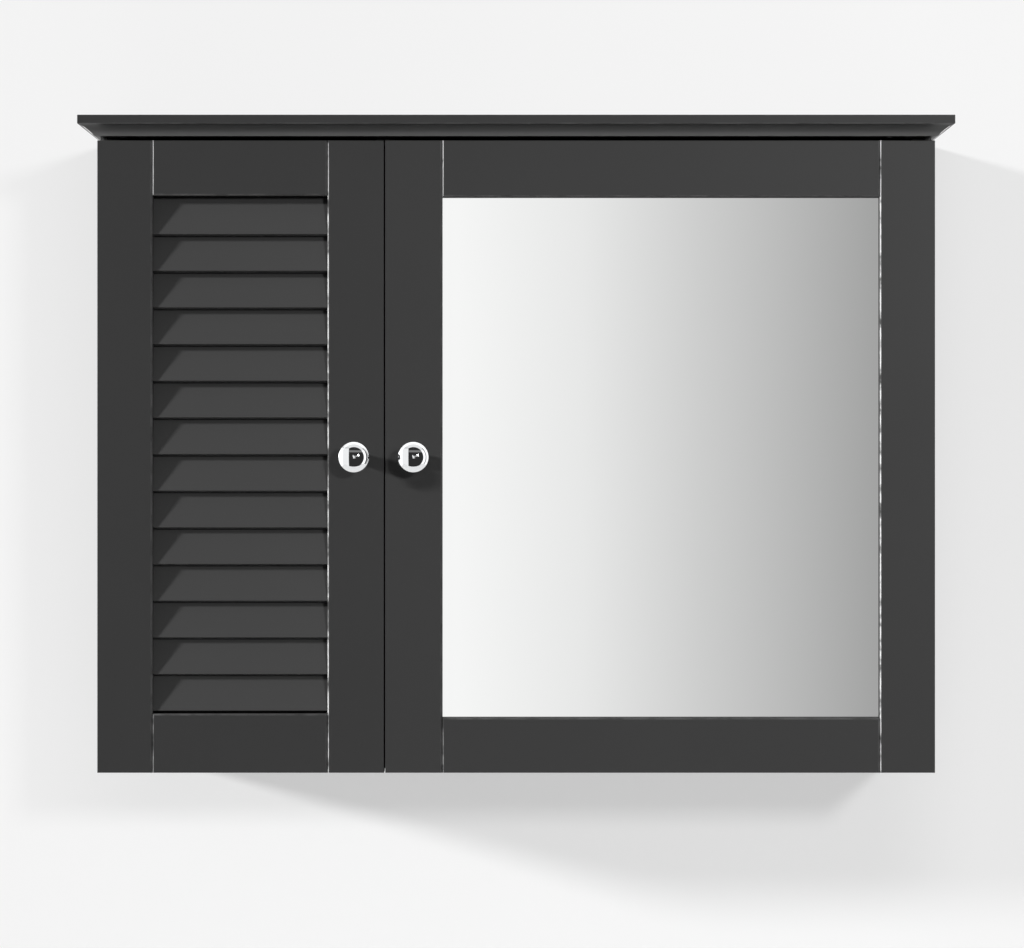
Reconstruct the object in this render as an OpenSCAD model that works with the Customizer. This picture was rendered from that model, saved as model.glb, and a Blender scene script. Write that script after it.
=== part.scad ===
// Wall-hung bathroom cabinet with a louvred door, a mirror door and a moulded top board.
// Millimetres. X runs right as seen from the front, Y runs back to the wall and Z runs up.
// The origin is midway between the two wall-screw holes, on the plane of the wall.

/* [Overall] */
// Width of the moulded top board, the widest piece
overall_w = 650; // [640:5:680]
// Height from the doors' bottom edges to the top face
overall_h = 488.5; // [485:0.5:510]
// Depth from the wall to the front edge of the top board
overall_d = 170; // [165:5:190]

/* [Top board] */
// Thickness of the top board
top_t = 14.5; // [14:0.5:20]
// Overhang of the top board past the doors and the sides
top_overhang = 13; // [12:0.5:16]
// Height of the plain band above the cove
band_h = 6.5; // [5:0.5:8]
// How far the foot of the cove still stands out past the doors
cove_foot = 2; // [1:0.5:3]
// Radius of the hollow cut along the front and both ends
cove_r = 20; // [14:1:30]
// Gap between the top board and the doors
top_gap = 3; // [2.5:0.5:4]

/* [Carcass] */
// Thickness of the sides, the bottom, the divider and the hanging rail
panel_t = 15; // [15:0.5:18]
// Thickness of the back panel
back_t = 3; // [3:0.5:4]
// Width of the rebate in each side that holds the back panel
back_rebate_w = 8; // [6:0.5:10]
// Height of the hanging rail
rail_h = 60; // [50:2:80]
// Distance between the two wall screws
wall_screw_spacing = 500; // [460:10:520]
// Diameter of the wall-screw holes
wall_screw_d = 6; // [5:0.5:7]

/* [Shelves] */
// Thickness of a shelf
shelf_t = 12; // [10:1:15]
// Set-back of a shelf behind the front edges of the carcass
shelf_setback = 5; // [4:1:10]
// Pitch of the shelf-pin holes
pin_pitch = 32; // [32:1:36]
// Number of shelf-pin holes in each row
pin_hole_count = 9; // [8:1:9]
// Diameter of the shelf pins
pin_d = 5; // [4:0.5:6]

/* [Doors] */
// Thickness of the door frames
door_t = 16; // [16:0.5:18]
// Gap between the closed doors and the carcass, filled by the bumpers
door_standoff = 1.5; // [1.5:0.1:2]
// Gap between the two doors
door_gap = 1; // [1:0.5:3]
// Width of the louvred door
left_door_w = 213.5; // [200:0.5:230]
// Width of the stiles on the hinge side
hinge_stile_w = 41; // [40:0.5:45]
// Width of the louvred door's stile on the knob side
louvre_knob_stile_w = 42; // [40:0.5:46]
// Width of the mirror door's stile on the knob side
mirror_knob_stile_w = 42.5; // [40:0.5:46]
// Height of the louvred door's top rail
louvre_top_rail_h = 41; // [38:0.5:45]
// Height of the louvred door's bottom rail
louvre_bottom_rail_h = 44; // [38:0.5:45]
// Height of the mirror door's top rail
mirror_top_rail_h = 42; // [38:0.5:45]
// Height of the mirror door's bottom rail
mirror_bottom_rail_h = 41; // [38:0.5:45]
// Bevel on the front arrises round the openings and at the joints of the frames
arris = 1; // [0.5:0.1:1.5]
// Bevel on the front arrises round the outside of the doors
edge_arris = 0.3; // [0.3:0.1:0.6]

/* [Louvres] */
// Number of slats
slat_count = 14; // [10:1:14]
// Width of a slat across its face
slat_w = 29.4; // [28:0.2:29.4]
// Thickness of a slat
slat_t = 5; // [4:0.5:5]
// Lean of the slats from upright, in degrees
slat_tilt = 15.5; // [14:0.5:16]
// Set-back of the slats' lower front edges behind the front of the frame
slat_setback = 1.9; // [1.5:0.1:2.8]
// Drop from the opening's top to the first slat's lower front edge
slat_head = 28.6; // [28.5:0.1:32]
// Height of the last slat's lower front edge above the bottom rail
slat_foot = 2.1; // [2:0.1:4]
// Depth of the slots that house the slats' ends
slat_housing = 4; // [3:0.5:5]

/* [Mirror] */
// Thickness of the mirror glass
glass_t = 4; // [3:0.5:4]
// Set-back of the mirror behind the front of its frame
mirror_setback = 5; // [4:0.5:5]
// Lap of the glass behind the frame
glass_lap = 6; // [5:0.5:7]
// Lap of the backing board behind the frame
backing_lap = 14; // [12:0.5:14]
// Thickness of the backing board
backing_t = 3; // [3:0.5:4]

/* [Knobs] */
// Diameter of a knob
knob_d = 22.5; // [20:0.5:26]
// Distance from the door's face to the top of a knob's crown
knob_reach = 23; // [20:0.5:26]
// Radius of the curve of a knob's crown
knob_crown_r = 14.5; // [12:0.1:16]
// Width of the bevelled rim round a knob's crown
knob_rim_w = 1.6; // [1.2:0.1:2]
// How far the rim falls back across its width
knob_rim_fall = 1.5; // [1.2:0.1:2]
// Distance from a door's free edge to the middle of its knob
knob_edge = 21.5; // [18:0.5:24]
// Drop of the knobs below the middle of the doors
knob_drop = 0.5; // [0:0.5:5]
// Diameter of the thread that holds a knob
knob_screw_d = 4; // [3:0.5:4]

/* [Hinge pivots] */
// Distance from a door's hinge edge to its pivot
pivot_edge = 4.6; // [4.2:0.1:4.8]
// Diameter of the pivot pins
pivot_d = 4; // [3:0.5:4]
// Diametral play of a pin in its bush
pivot_play = 0.1; // [0.06:0.02:0.2]
// Thickness of the pivot plates
plate_t = 1.5; // [1.5:0.1:2]

/* [Hidden] */
$fn = 64;
over = 1;
fit = 0.1;

paint = "#3c3c3d";
steel = "#b9bcbf";
black_steel = "#26272a";
chrome = "#d8dbde";
nylon = "#2b2b2c";
hardboard = "#6b5138";
silvered = "#c9d0d4";
clear_rubber = "#dfe3e6";
magnet_case = "#2e2e30";

// Heights, from the wall screws in the middle of the hanging rail
top_under_z = rail_h / 2;
top_face_z = top_under_z + top_t;
doors_low_z = top_face_z - overall_h;
doors_high_z = top_under_z - top_gap;
carcass_low_z = doors_low_z + plate_t;
floor_z = carcass_low_z + panel_t;
knob_z = (doors_low_z + doors_high_z) / 2 - knob_drop;

// Depths, from the wall forwards
door_front_y = -(overall_d - top_overhang);
door_back_y = door_front_y + door_t;
door_mid_y = door_front_y + door_t / 2;
carcass_front_y = door_back_y + door_standoff;
rail_back_y = -back_t;
rail_mid_y = rail_back_y - panel_t / 2;

// Widths
half_w = overall_w / 2 - top_overhang;
inner_x = half_w - panel_t;
left_free_x = -half_w + left_door_w;
right_free_x = left_free_x + door_gap;
divider_mid_x = left_free_x + door_gap / 2;
divider_left_x = divider_mid_x - panel_t / 2;
divider_right_x = divider_mid_x + panel_t / 2;

// The hollow of the top board is an arc from the band's lower edge to the board's underside
cove_run = top_overhang - cove_foot;
cove_rise = top_t - band_h;
cove_chord = sqrt(cove_run * cove_run + cove_rise * cove_rise);
cove_reach = sqrt(cove_r * cove_r - cove_chord * cove_chord / 4);
cove_out = cove_reach * cove_rise / cove_chord - cove_run / 2;
cove_down = cove_reach * cove_run / cove_chord + cove_rise / 2;
cove_z = top_face_z - band_h - cove_down;

// Knock-down fittings: cam drums, and bolts that screw into the neighbouring panel
cam_r = 7.5;
cam_h = 12.5;
cam_reach = 24;
bolt_r = 3;
bolt_bore_r = 3.5;
bolt_thread_r = 2.5;
bolt_thread_l = 10;
cam_ys = [carcass_front_y + 39, -38];

// Shelf pins in two rows on each wall of both compartments
pin_depth = 6.5;
pin_reach = 8;
pin_ys = [carcass_front_y + 21, -32];
first_pin_z = floor_z + 96;
lower_shelf_row = 1;
upper_shelf_row = 6;
shelf_play = 1;

// Door openings
louvre_low_z = doors_low_z + louvre_bottom_rail_h;
louvre_high_z = doors_high_z - louvre_top_rail_h;
louvre_left_x = -half_w + hinge_stile_w;
louvre_right_x = left_free_x - louvre_knob_stile_w;
mirror_low_z = doors_low_z + mirror_bottom_rail_h;
mirror_high_z = doors_high_z - mirror_top_rail_h;
mirror_left_x = right_free_x + mirror_knob_stile_w;
mirror_right_x = half_w - hinge_stile_w;
mirror_y = door_front_y + mirror_setback;
backing_y = mirror_y + glass_t;

// Stub tenons that join the rails to the stiles
tenon_l = 10;
tenon_t = 5;
tenon_inner_inset = 16;
tenon_outer_inset = 6;

// Slats
slat_y = door_front_y + slat_setback;
slat_pitch = (louvre_high_z - louvre_low_z - slat_head - slat_foot) / (slat_count - 1);
slat_edge = 0.8;

// Pivots, each a pin on a plate that turns in a bush in the door
pivot_x = half_w - pivot_edge;
pivot_nose_r = 3.2;
bush_r = 3;
bush_l = 10;
bush_flange_r = 4.2;
bush_flange_t = 0.85;
plate_relief_t = plate_t + 0.9;
plate_relief_x = 4.4;
plate_relief_y = 4.9;
top_plate_w = 38;
top_plate_d = 10;
foot_w = 48;
foot_front_y = carcass_front_y + 5;
foot_d = 22;
plate_screw_l = 12;

// Magnetic catches on the divider and their strike plates on the doors
catch_z = knob_z + 33.5;
catch_w = 12;
catch_d = 20;
catch_h = 40;
strike_t = 1.2;
strike_w = 12;
strike_h = 30;
strike_gap = 0.1;
catch_y = door_back_y + strike_t + strike_gap;

// Bumpers between the doors and the divider's front edge
bumper_r = 2.9;
bumper_t = door_standoff - 0.05;
bumper_inset = 3.4;
bumper_zs = [doors_low_z + 24, doors_high_z - 17];

// Screws
small_screw_r = 1.5;
small_head_r = 2.8;
small_head_h = 1.6;
knob_screw_l = 25;
knob_head_r = 4;
knob_head_h = 2.3;
nail_r = 0.8;
nail_head_r = 1.8;
nail_head_h = 0.5;
nail_l = 14;

function slat_name(k) = str("slat_", k < 10 ? "0" : "", k);
function slat_z(k) = louvre_high_z - slat_head - (k - 1) * slat_pitch;
function pin_z(row) = first_pin_z + row * pin_pitch;
function shelf_low_z(row) = pin_z(row) + pin_d / 2;
function spread(a, b, n) = [for (i = [0:n - 1]) a + (b - a) * i / (n - 1)];

// Box between two corners
module block(low, high) translate(low) cube(high - low);

// Cylinders along the three axes, from a starting point
module rod_x(p, r, l) translate(p) rotate([0, 90, 0]) cylinder(r = r, h = l);
module rod_y(p, r, l) translate(p) rotate([-90, 0, 0]) cylinder(r = r, h = l);
module rod_z(p, r, l) translate(p) cylinder(r = r, h = l);

// Both the left-hand thing and its mirror image
module both_sides() {
    children();
    mirror([1, 0, 0]) children();
}

// Flat plate with round corners, in plan
module round_plate(low, high, r) {
    translate([low[0] + r, low[1]]) square([high[0] - low[0] - 2 * r, high[1] - low[1]]);
    translate([low[0], low[1] + r]) square([high[0] - low[0], high[1] - low[1] - 2 * r]);
    for (x = [low[0] + r, high[0] - r])
        for (y = [low[1] + r, high[1] - r])
            translate([x, y]) circle(r = r);
}

// Countersunk screw, its head's face at the origin and its shank along -Z
module flat_screw(l, play = 0) {
    translate([0, 0, -small_head_h])
        cylinder(r1 = small_screw_r + play, r2 = small_head_r + play, h = small_head_h);
    translate([0, 0, -l]) cylinder(r = small_screw_r + play, h = l - small_head_h);
}

module driven_screw(l) difference() {
    flat_screw(l);
    for (turn = [0, 90])
        rotate([0, 0, turn]) translate([-1.6, -0.3, -1]) cube([3.2, 0.6, 1 + over]);
}

// Section of a frame member, its front arrises bevelled by a at the low end and b at the high
function bar_section(low, high, a, b) = [
    [low, door_back_y], [low, door_front_y + a], [low + a, door_front_y],
    [high - b, door_front_y], [high, door_front_y + b], [high, door_back_y]];

// Frame member between two corners in the door's plane, with its four front bevels
module frame_bar(x0, x1, z0, z1, left = arris, right = arris, low = arris, high = arris)
    intersection() {
        translate([0, 0, z0]) linear_extrude(z1 - z0) polygon(bar_section(x0, x1, left, right));
        translate([x0, 0, 0]) rotate([90, 0, 90]) linear_extrude(x1 - x0)
            polygon([for (p = bar_section(z0, z1, low, high)) [p[1], p[0]]]);
    }

// Stile along the full height of a door, bevelled on its front arrises
module stile_bar(x0, x1, left, right)
    frame_bar(x0, x1, doors_low_z, doors_high_z, left, right, edge_arris, edge_arris);

// Stub tenons of one rail, or with play the mortises that take them
module tenons(x0, x1, z0, z1, play = 0)
    for (x = [x0 - tenon_l, x1])
        block([x - play, door_mid_y - tenon_t / 2 - play, z0 - play],
              [x + tenon_l + play, door_mid_y + tenon_t / 2 + play, z1 + play]);

module top_tenons(x0, x1, low_z, play = 0)
    tenons(x0, x1, low_z + tenon_inner_inset, doors_high_z - tenon_outer_inset, play);

module bottom_tenons(x0, x1, high_z, play = 0)
    tenons(x0, x1, doors_low_z + tenon_outer_inset, high_z - tenon_inner_inset, play);

// Bores for the two bushes, and the relief that clears the bottom plate as the door turns
module pivot_cuts() {
    rod_z([-pivot_x, door_mid_y, doors_high_z - bush_l - over], bush_r, bush_l + 2 * over);
    rod_z([-pivot_x, door_mid_y, doors_low_z], bush_r, plate_relief_t + bush_l + over);
    block([-half_w - over, door_mid_y - plate_relief_y, doors_low_z - over],
          [-pivot_x + plate_relief_x, door_back_y + over, doors_low_z + plate_relief_t]);
}

// Bushes of a door on the left-hand side
module bushes() difference() {
    union() {
        rod_z([-pivot_x, door_mid_y, doors_high_z - bush_l], bush_r, bush_l);
        rod_z([-pivot_x, door_mid_y, doors_high_z], bush_flange_r, bush_flange_t);
        rod_z([-pivot_x, door_mid_y, doors_low_z + plate_relief_t], bush_r, bush_l);
        rod_z([-pivot_x, door_mid_y, doors_low_z + plate_relief_t - bush_flange_t],
              bush_flange_r, bush_flange_t);
    }
    rod_z([-pivot_x, door_mid_y, doors_low_z], (pivot_d + pivot_play) / 2,
          doors_high_z - doors_low_z + 2 * over);
}

// Slat section, its lower front edge at the origin, leaning back as it rises
module slat_section(play = 0) {
    low = -play;
    high = slat_w + play;
    back = slat_t + play;
    e = slat_edge;
    rotate([0, 0, -slat_tilt]) polygon([
        [low + e, low], [back - e, low], [back, low + e], [back, high - e],
        [back - e, high], [low + e, high], [low, high - e], [low, low + e]]);
}

module slat(k, play = 0)
    translate([louvre_left_x - slat_housing - play, slat_y, slat_z(k)])
        rotate([90, 0, 90])
            linear_extrude(louvre_right_x - louvre_left_x + 2 * (slat_housing + play))
                slat_section(play);

// Steps behind the mirror door's opening: one for the glass, a wider one for the backing
module mirror_rebate() {
    block([mirror_left_x - glass_lap, mirror_y, mirror_low_z - glass_lap],
          [mirror_right_x + glass_lap, door_back_y + over, mirror_high_z + glass_lap]);
    block([mirror_left_x - backing_lap, backing_y, mirror_low_z - backing_lap],
          [mirror_right_x + backing_lap, door_back_y + over, mirror_high_z + backing_lap]);
}

// Where the screws of the mirror's backing board sit
backing_screw_lap = (glass_lap + backing_lap) / 2;
backing_xs = spread(mirror_left_x - backing_screw_lap, mirror_right_x + backing_screw_lap, 5);
backing_zs = spread(mirror_low_z - backing_screw_lap, mirror_high_z + backing_screw_lap, 6);
backing_spots = concat(
    [for (x = backing_xs) [x, backing_zs[0]]],
    [for (x = backing_xs) [x, backing_zs[5]]],
    [for (i = [1:4]) [backing_xs[0], backing_zs[i]]],
    [for (i = [1:4]) [backing_xs[4], backing_zs[i]]]
);

module backing_screw(play = 0) {
    screw_l = 8.5;
    rotate([90, 0, 0]) cylinder(r = small_screw_r + play, h = screw_l + play);
    rotate([-90, 0, 0]) cylinder(r = small_head_r, h = small_head_h);
}

// Knob with its foot at the origin, standing up along Z: a crown with a bevelled rim, on a neck
module knob() difference() {
    foot_r = 7;
    foot_h = 1.5;
    neck_r = 4.6;
    edge_h = 0.8;
    flare_h = 5;
    rim_r = knob_d / 2;
    crown_edge_r = rim_r - knob_rim_w;
    crown_z = knob_reach - knob_crown_r;
    rim_z = crown_z + sqrt(knob_crown_r * knob_crown_r - crown_edge_r * crown_edge_r)
        - knob_rim_fall;
    union() {
        cylinder(r = foot_r, h = foot_h);
        cylinder(r = neck_r, h = rim_z);
        translate([0, 0, rim_z - edge_h - flare_h])
            cylinder(r1 = neck_r, r2 = rim_r - edge_h / 2, h = flare_h);
        translate([0, 0, rim_z - edge_h]) cylinder(r = rim_r, h = edge_h);
        translate([0, 0, rim_z]) cylinder(r1 = rim_r, r2 = crown_edge_r, h = knob_rim_fall);
        intersection() {
            translate([0, 0, crown_z]) sphere(r = knob_crown_r);
            translate([0, 0, rim_z]) cylinder(r = crown_edge_r, h = knob_reach);
        }
    }
    translate([0, 0, -over]) cylinder(r = knob_screw_d / 2, h = 10 + over);
}

module knob_on(x) translate([x, door_front_y, knob_z]) rotate([90, 0, 0]) knob();

module knob_screw(x) difference() {
    union() {
        rod_y([x, door_back_y - knob_screw_l, knob_z], knob_screw_d / 2, knob_screw_l);
        rod_y([x, door_back_y, knob_z], knob_head_r, knob_head_h);
    }
    for (turn = [0, 90])
        translate([x, door_back_y + knob_head_h, knob_z]) rotate([0, turn, 0])
            cube([5, 2.4, 0.9], center = true);
}

module knob_hole(x)
    rod_y([x, door_front_y - over, knob_z], knob_screw_d / 2 + 0.25, door_t + 2 * over);

// Strike plate and its two screws on the back of a door
module strike_screws(x)
    for (dz = [-strike_h / 3, strike_h / 3])
        translate([x, door_back_y + strike_t, catch_z + dz]) rotate([-90, 0, 0]) children();

module strike_plate(x) difference() {
    translate([x, door_back_y + strike_t, catch_z]) rotate([90, 0, 0])
        linear_extrude(strike_t)
            round_plate([-strike_w / 2, -strike_h / 2], [strike_w / 2, strike_h / 2], 2);
    strike_screws(x) flat_screw(plate_screw_l, fit / 2);
}

left_strike_x = divider_left_x - catch_w / 2;
right_strike_x = divider_right_x + catch_w / 2;
left_knob_x = left_free_x - knob_edge;
right_knob_x = right_free_x + knob_edge;

module bumpers(x)
    for (z = bumper_zs) rod_y([x, door_back_y, z], bumper_r, bumper_t);

// Plans of the pivot plates on the left-hand side
module top_plate_plan(play = 0)
    round_plate([-pivot_x - pivot_nose_r - play, door_mid_y - top_plate_d / 2 - play],
                [-pivot_x - pivot_nose_r + top_plate_w + play, door_mid_y + top_plate_d / 2 + play],
                pivot_nose_r);

top_plate_screw_xs = [-pivot_x + 14, -pivot_x + 28];

module top_plate_screws()
    for (x = top_plate_screw_xs)
        translate([x, door_mid_y, top_under_z]) rotate([180, 0, 0]) children();

foot_left_x = -pivot_x - pivot_nose_r;
foot_screw_xs = [foot_left_x + 7, foot_left_x + 24, foot_left_x + 41];

module bottom_plate_plan() {
    translate([-pivot_x, door_mid_y]) circle(r = pivot_nose_r);
    translate([foot_left_x, door_mid_y])
        square([2 * pivot_nose_r, foot_front_y + foot_d / 2 - door_mid_y]);
    round_plate([foot_left_x, foot_front_y], [foot_left_x + foot_w, foot_front_y + foot_d], 3);
}

module bottom_plate_screws()
    for (x = foot_screw_xs)
        translate([x, foot_front_y + foot_d / 2, doors_low_z]) rotate([180, 0, 0]) children();

// Cam fittings that pull an upright panel's top edge against the top board
module upright_cams(face_x, mid_x, inward) for (y = cam_ys) {
    rod_x([inward > 0 ? face_x - cam_h : face_x, y, top_under_z - cam_reach], cam_r, cam_h);
    rod_z([mid_x, y, top_under_z - cam_reach], bolt_bore_r, cam_reach + over);
}

// One bolt, its shoulder at the origin, its thread along +Z and its head in a drum below
module cam_bolt() {
    cylinder(r = bolt_thread_r - fit / 2, h = bolt_thread_l - fit);
    translate([0, 0, -cam_reach + 4]) cylinder(r = bolt_r, h = cam_reach - 4);
}

// Drum with the slot that takes its bolt and the cross for the driver
module cam_drum() difference() {
    cylinder(r = cam_r - fit, h = cam_h - fit);
    translate([0, 0, cam_h - panel_t / 2]) rotate([0, 90, 0])
        cylinder(r = bolt_bore_r, h = cam_r * 2);
    for (turn = [45, 135])
        translate([0, 0, cam_h - fit]) rotate([0, 0, turn]) cube([8, 1.4, 3], center = true);
}

module pin_holes(face_x, into)
    for (y = pin_ys) for (row = [0:pin_hole_count - 1])
        rod_x([into > 0 ? face_x : face_x - pin_depth, y, pin_z(row)], pin_d / 2, pin_depth);

nail_zs = spread(floor_z + 20, top_under_z - 80, 5);
nail_xs = spread(-inner_x + 70, inner_x - 70, 7);

// Carcass

module top_board() color(paint) difference() {
    block([-overall_w / 2, -overall_d, top_under_z], [overall_w / 2, 0, top_face_z]);
    rod_x([-overall_w, -overall_d - cove_out, cove_z], cove_r, 2 * overall_w);
    both_sides() {
        rod_y([overall_w / 2 + cove_out, -2 * overall_d, cove_z], cove_r, 3 * overall_d);
        translate([0, 0, top_under_z - over]) linear_extrude(plate_t + over)
            top_plate_plan(fit);
        top_plate_screws() flat_screw(plate_screw_l, fit / 2);
        for (y = cam_ys)
            rod_z([-half_w + panel_t / 2, y, top_under_z - over], bolt_thread_r, bolt_thread_l + over);
    }
    for (y = cam_ys)
        rod_z([divider_mid_x, y, top_under_z - over], bolt_thread_r, bolt_thread_l + over);
}

module side_panel() difference() {
    block([-half_w, carcass_front_y, carcass_low_z], [-inner_x, 0, top_under_z]);
    block([-inner_x - back_rebate_w, -back_t, carcass_low_z - over],
          [-inner_x + over, over, top_under_z + over]);
    upright_cams(-inner_x, -half_w + panel_t / 2, 1);
    pin_holes(-inner_x, -1);
    for (y = cam_ys)
        rod_x([-inner_x - bolt_thread_l, y, carcass_low_z + panel_t / 2], bolt_thread_r,
              bolt_thread_l + over);
    rod_x([-inner_x - bolt_thread_l, rail_mid_y, 0], bolt_thread_r, bolt_thread_l + over);
    bottom_plate_screws() flat_screw(plate_screw_l, fit / 2);
}

module left_side() color(paint) side_panel();

module right_side() color(paint) mirror([1, 0, 0]) side_panel();

module bottom_panel() color(paint) difference() {
    block([-inner_x, carcass_front_y, carcass_low_z], [inner_x, -back_t, floor_z]);
    both_sides() {
        for (y = cam_ys) {
            rod_z([-inner_x + cam_reach, y, carcass_low_z - over], cam_r, cam_h + over);
            rod_x([-inner_x - over, y, carcass_low_z + panel_t / 2], bolt_bore_r, cam_reach + over);
        }
        bottom_plate_screws() flat_screw(plate_screw_l, fit / 2);
    }
    divider_screw_spots() flat_screw(40, fit / 2);
    for (x = nail_xs) nail_hole(x, floor_z - panel_t / 2);
}

module divider_screw_spots()
    for (y = cam_ys)
        translate([divider_mid_x, y, carcass_low_z]) rotate([180, 0, 0]) children();

module nail_hole(x, z) rod_y([x, -nail_l, z], nail_r, nail_l + over);

module divider() color(paint) difference() {
    block([divider_left_x, carcass_front_y, floor_z], [divider_right_x, -back_t, top_under_z]);
    block([divider_left_x - over, -back_t - panel_t - fit, -rail_h / 2 - fit],
          [divider_right_x + over, over, top_under_z + over]);
    upright_cams(divider_right_x, divider_mid_x, 1);
    pin_holes(divider_left_x, 1);
    pin_holes(divider_right_x, -1);
    divider_screw_spots() flat_screw(40, fit / 2);
    catch_screw_spots() flat_screw(plate_screw_l + 6, fit / 2);
    for (z = nail_zs) nail_hole(divider_mid_x, z);
}

module hanging_rail() color(paint) difference() {
    block([-inner_x, rail_back_y - panel_t, -rail_h / 2], [inner_x, rail_back_y, top_under_z]);
    for (x = [-wall_screw_spacing / 2, wall_screw_spacing / 2])
        rod_y([x, -2 * panel_t, 0], wall_screw_d / 2, 2 * panel_t + over);
    both_sides() {
        rod_y([-inner_x + cam_reach, rail_back_y - panel_t - over, 0], cam_r, cam_h + over);
        rod_x([-inner_x - over, rail_mid_y, 0], bolt_bore_r, cam_reach + over);
    }
}

module back_panel() color(paint) difference() {
    block([-inner_x - back_rebate_w, -back_t, carcass_low_z], [inner_x + back_rebate_w, 0, top_under_z]);
    for (x = [-wall_screw_spacing / 2, wall_screw_spacing / 2])
        rod_y([x, -2 * panel_t, 0], wall_screw_d / 2, 2 * panel_t + over);
    nail_spots() {
        translate([0, 0, -nail_l]) cylinder(r = nail_r, h = nail_l);
        translate([0, 0, -nail_head_h]) cylinder(r = nail_head_r, h = nail_head_h + over);
    }
}

module nail_spots() {
    for (x = nail_xs)
        translate([x, 0, floor_z - panel_t / 2]) rotate([-90, 0, 0]) children();
    for (z = nail_zs)
        translate([divider_mid_x, 0, z]) rotate([-90, 0, 0]) children();
}

module back_panel_nails() color(steel) nail_spots() {
    translate([0, 0, -nail_l]) cylinder(r = nail_r, h = nail_l - nail_head_h);
    translate([0, 0, -nail_head_h]) cylinder(r = nail_head_r, h = nail_head_h);
}

// A shelf between two walls, resting on the pins of one row
module shelf(x0, x1, row) color(paint)
    block([x0 + shelf_play, carcass_front_y + shelf_setback, shelf_low_z(row)],
          [x1 - shelf_play, -back_t - shelf_play, shelf_low_z(row) + shelf_t]);

module left_upper_shelf() shelf(-inner_x, divider_left_x, upper_shelf_row);
module left_lower_shelf() shelf(-inner_x, divider_left_x, lower_shelf_row);
module right_upper_shelf() shelf(divider_right_x, inner_x, upper_shelf_row);
module right_lower_shelf() shelf(divider_right_x, inner_x, lower_shelf_row);

module shelf_pin() {
    translate([0, 0, -pin_depth + fit]) cylinder(r = (pin_d - fit) / 2, h = pin_depth - fit);
    cylinder(r = pin_d / 2, h = pin_reach);
}

// Four pins carry each shelf, two on each wall of its compartment
module shelf_pins() color(steel)
    for (row = [lower_shelf_row, upper_shelf_row]) for (y = pin_ys) {
        translate([-inner_x, y, pin_z(row)]) rotate([0, 90, 0]) shelf_pin();
        translate([divider_left_x, y, pin_z(row)]) rotate([0, -90, 0]) shelf_pin();
        translate([divider_right_x, y, pin_z(row)]) rotate([0, 90, 0]) shelf_pin();
        translate([inner_x, y, pin_z(row)]) rotate([0, -90, 0]) shelf_pin();
    }

// Every cam fitting: the drum's mouth, the way it faces and the way its bolt runs
module cam_locks() color(steel) {
    both_sides() for (y = cam_ys) {
        translate([-inner_x - cam_h, y, top_under_z - cam_reach])
            rotate([0, 90, 0]) rotate([0, 0, 180]) cam_drum();
        translate([-inner_x + cam_reach, y, carcass_low_z + cam_h])
            rotate([180, 0, 0]) rotate([0, 0, 180]) cam_drum();
    }
    both_sides()
        translate([-inner_x + cam_reach, rail_back_y - panel_t + cam_h, 0])
            rotate([90, 0, 0]) rotate([0, 0, 180]) cam_drum();
    for (y = cam_ys)
        translate([divider_right_x - cam_h, y, top_under_z - cam_reach])
            rotate([0, 90, 0]) rotate([0, 0, 180]) cam_drum();
}

module cam_bolts() color(steel) {
    both_sides() {
        for (y = cam_ys) {
            translate([-half_w + panel_t / 2, y, top_under_z]) cam_bolt();
            translate([-inner_x, y, carcass_low_z + panel_t / 2]) rotate([0, -90, 0]) cam_bolt();
        }
        translate([-inner_x, rail_mid_y, 0]) rotate([0, -90, 0]) cam_bolt();
    }
    for (y = cam_ys)
        translate([divider_mid_x, y, top_under_z]) cam_bolt();
}

module divider_screws() color(steel) divider_screw_spots() driven_screw(40);

// Pivot hardware on the carcass

module top_pivot_plates() color(black_steel) both_sides() difference() {
    translate([0, 0, top_under_z]) linear_extrude(plate_t) top_plate_plan();
    top_plate_screws() flat_screw(plate_screw_l, fit / 2);
    rod_z([-pivot_x, door_mid_y, top_under_z - over], pivot_d / 2, plate_t + 2 * over);
}

module bottom_pivot_plates() color(black_steel) both_sides() difference() {
    translate([0, 0, doors_low_z]) linear_extrude(plate_t) bottom_plate_plan();
    bottom_plate_screws() flat_screw(plate_screw_l, fit / 2);
    rod_z([-pivot_x, door_mid_y, doors_low_z - over], pivot_d / 2, plate_t + 2 * over);
}

module pivot_pins() color(black_steel) both_sides() {
    rod_z([-pivot_x, door_mid_y, doors_high_z - bush_l + 2], pivot_d / 2,
          top_gap + plate_t + bush_l - 2);
    rod_z([-pivot_x, door_mid_y, doors_low_z], pivot_d / 2, plate_relief_t + bush_l - 1.5);
}

module pivot_plate_screws() color(steel) both_sides() {
    top_plate_screws() driven_screw(plate_screw_l);
    bottom_plate_screws() driven_screw(plate_screw_l);
}

// Magnetic catches: a case on each face of the divider with two pole strips at its mouth
module catch_case() difference() {
    block([divider_left_x - catch_w, catch_y + 1, catch_z - catch_h / 2],
          [divider_left_x, catch_y + catch_d, catch_z + catch_h / 2]);
    block([divider_left_x - catch_w + 2, catch_y, catch_z - catch_h / 2 + 9],
          [divider_left_x - 2, catch_y + 14, catch_z + catch_h / 2 - 9]);
}

module catch_insert()
    for (x = [divider_left_x - catch_w + 2, divider_left_x - 4])
        block([x, catch_y, catch_z - catch_h / 2 + 9],
              [x + 2, catch_y + 14, catch_z + catch_h / 2 - 9]);

module catch_core()
    block([divider_left_x - catch_w + 4, catch_y + 2, catch_z - catch_h / 2 + 9],
          [divider_left_x - 4, catch_y + 14, catch_z + catch_h / 2 - 9]);

// The same thing on the other face of the divider
module on_both_faces() {
    children();
    translate([2 * divider_mid_x, 0, 0]) mirror([1, 0, 0]) children();
}

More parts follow.
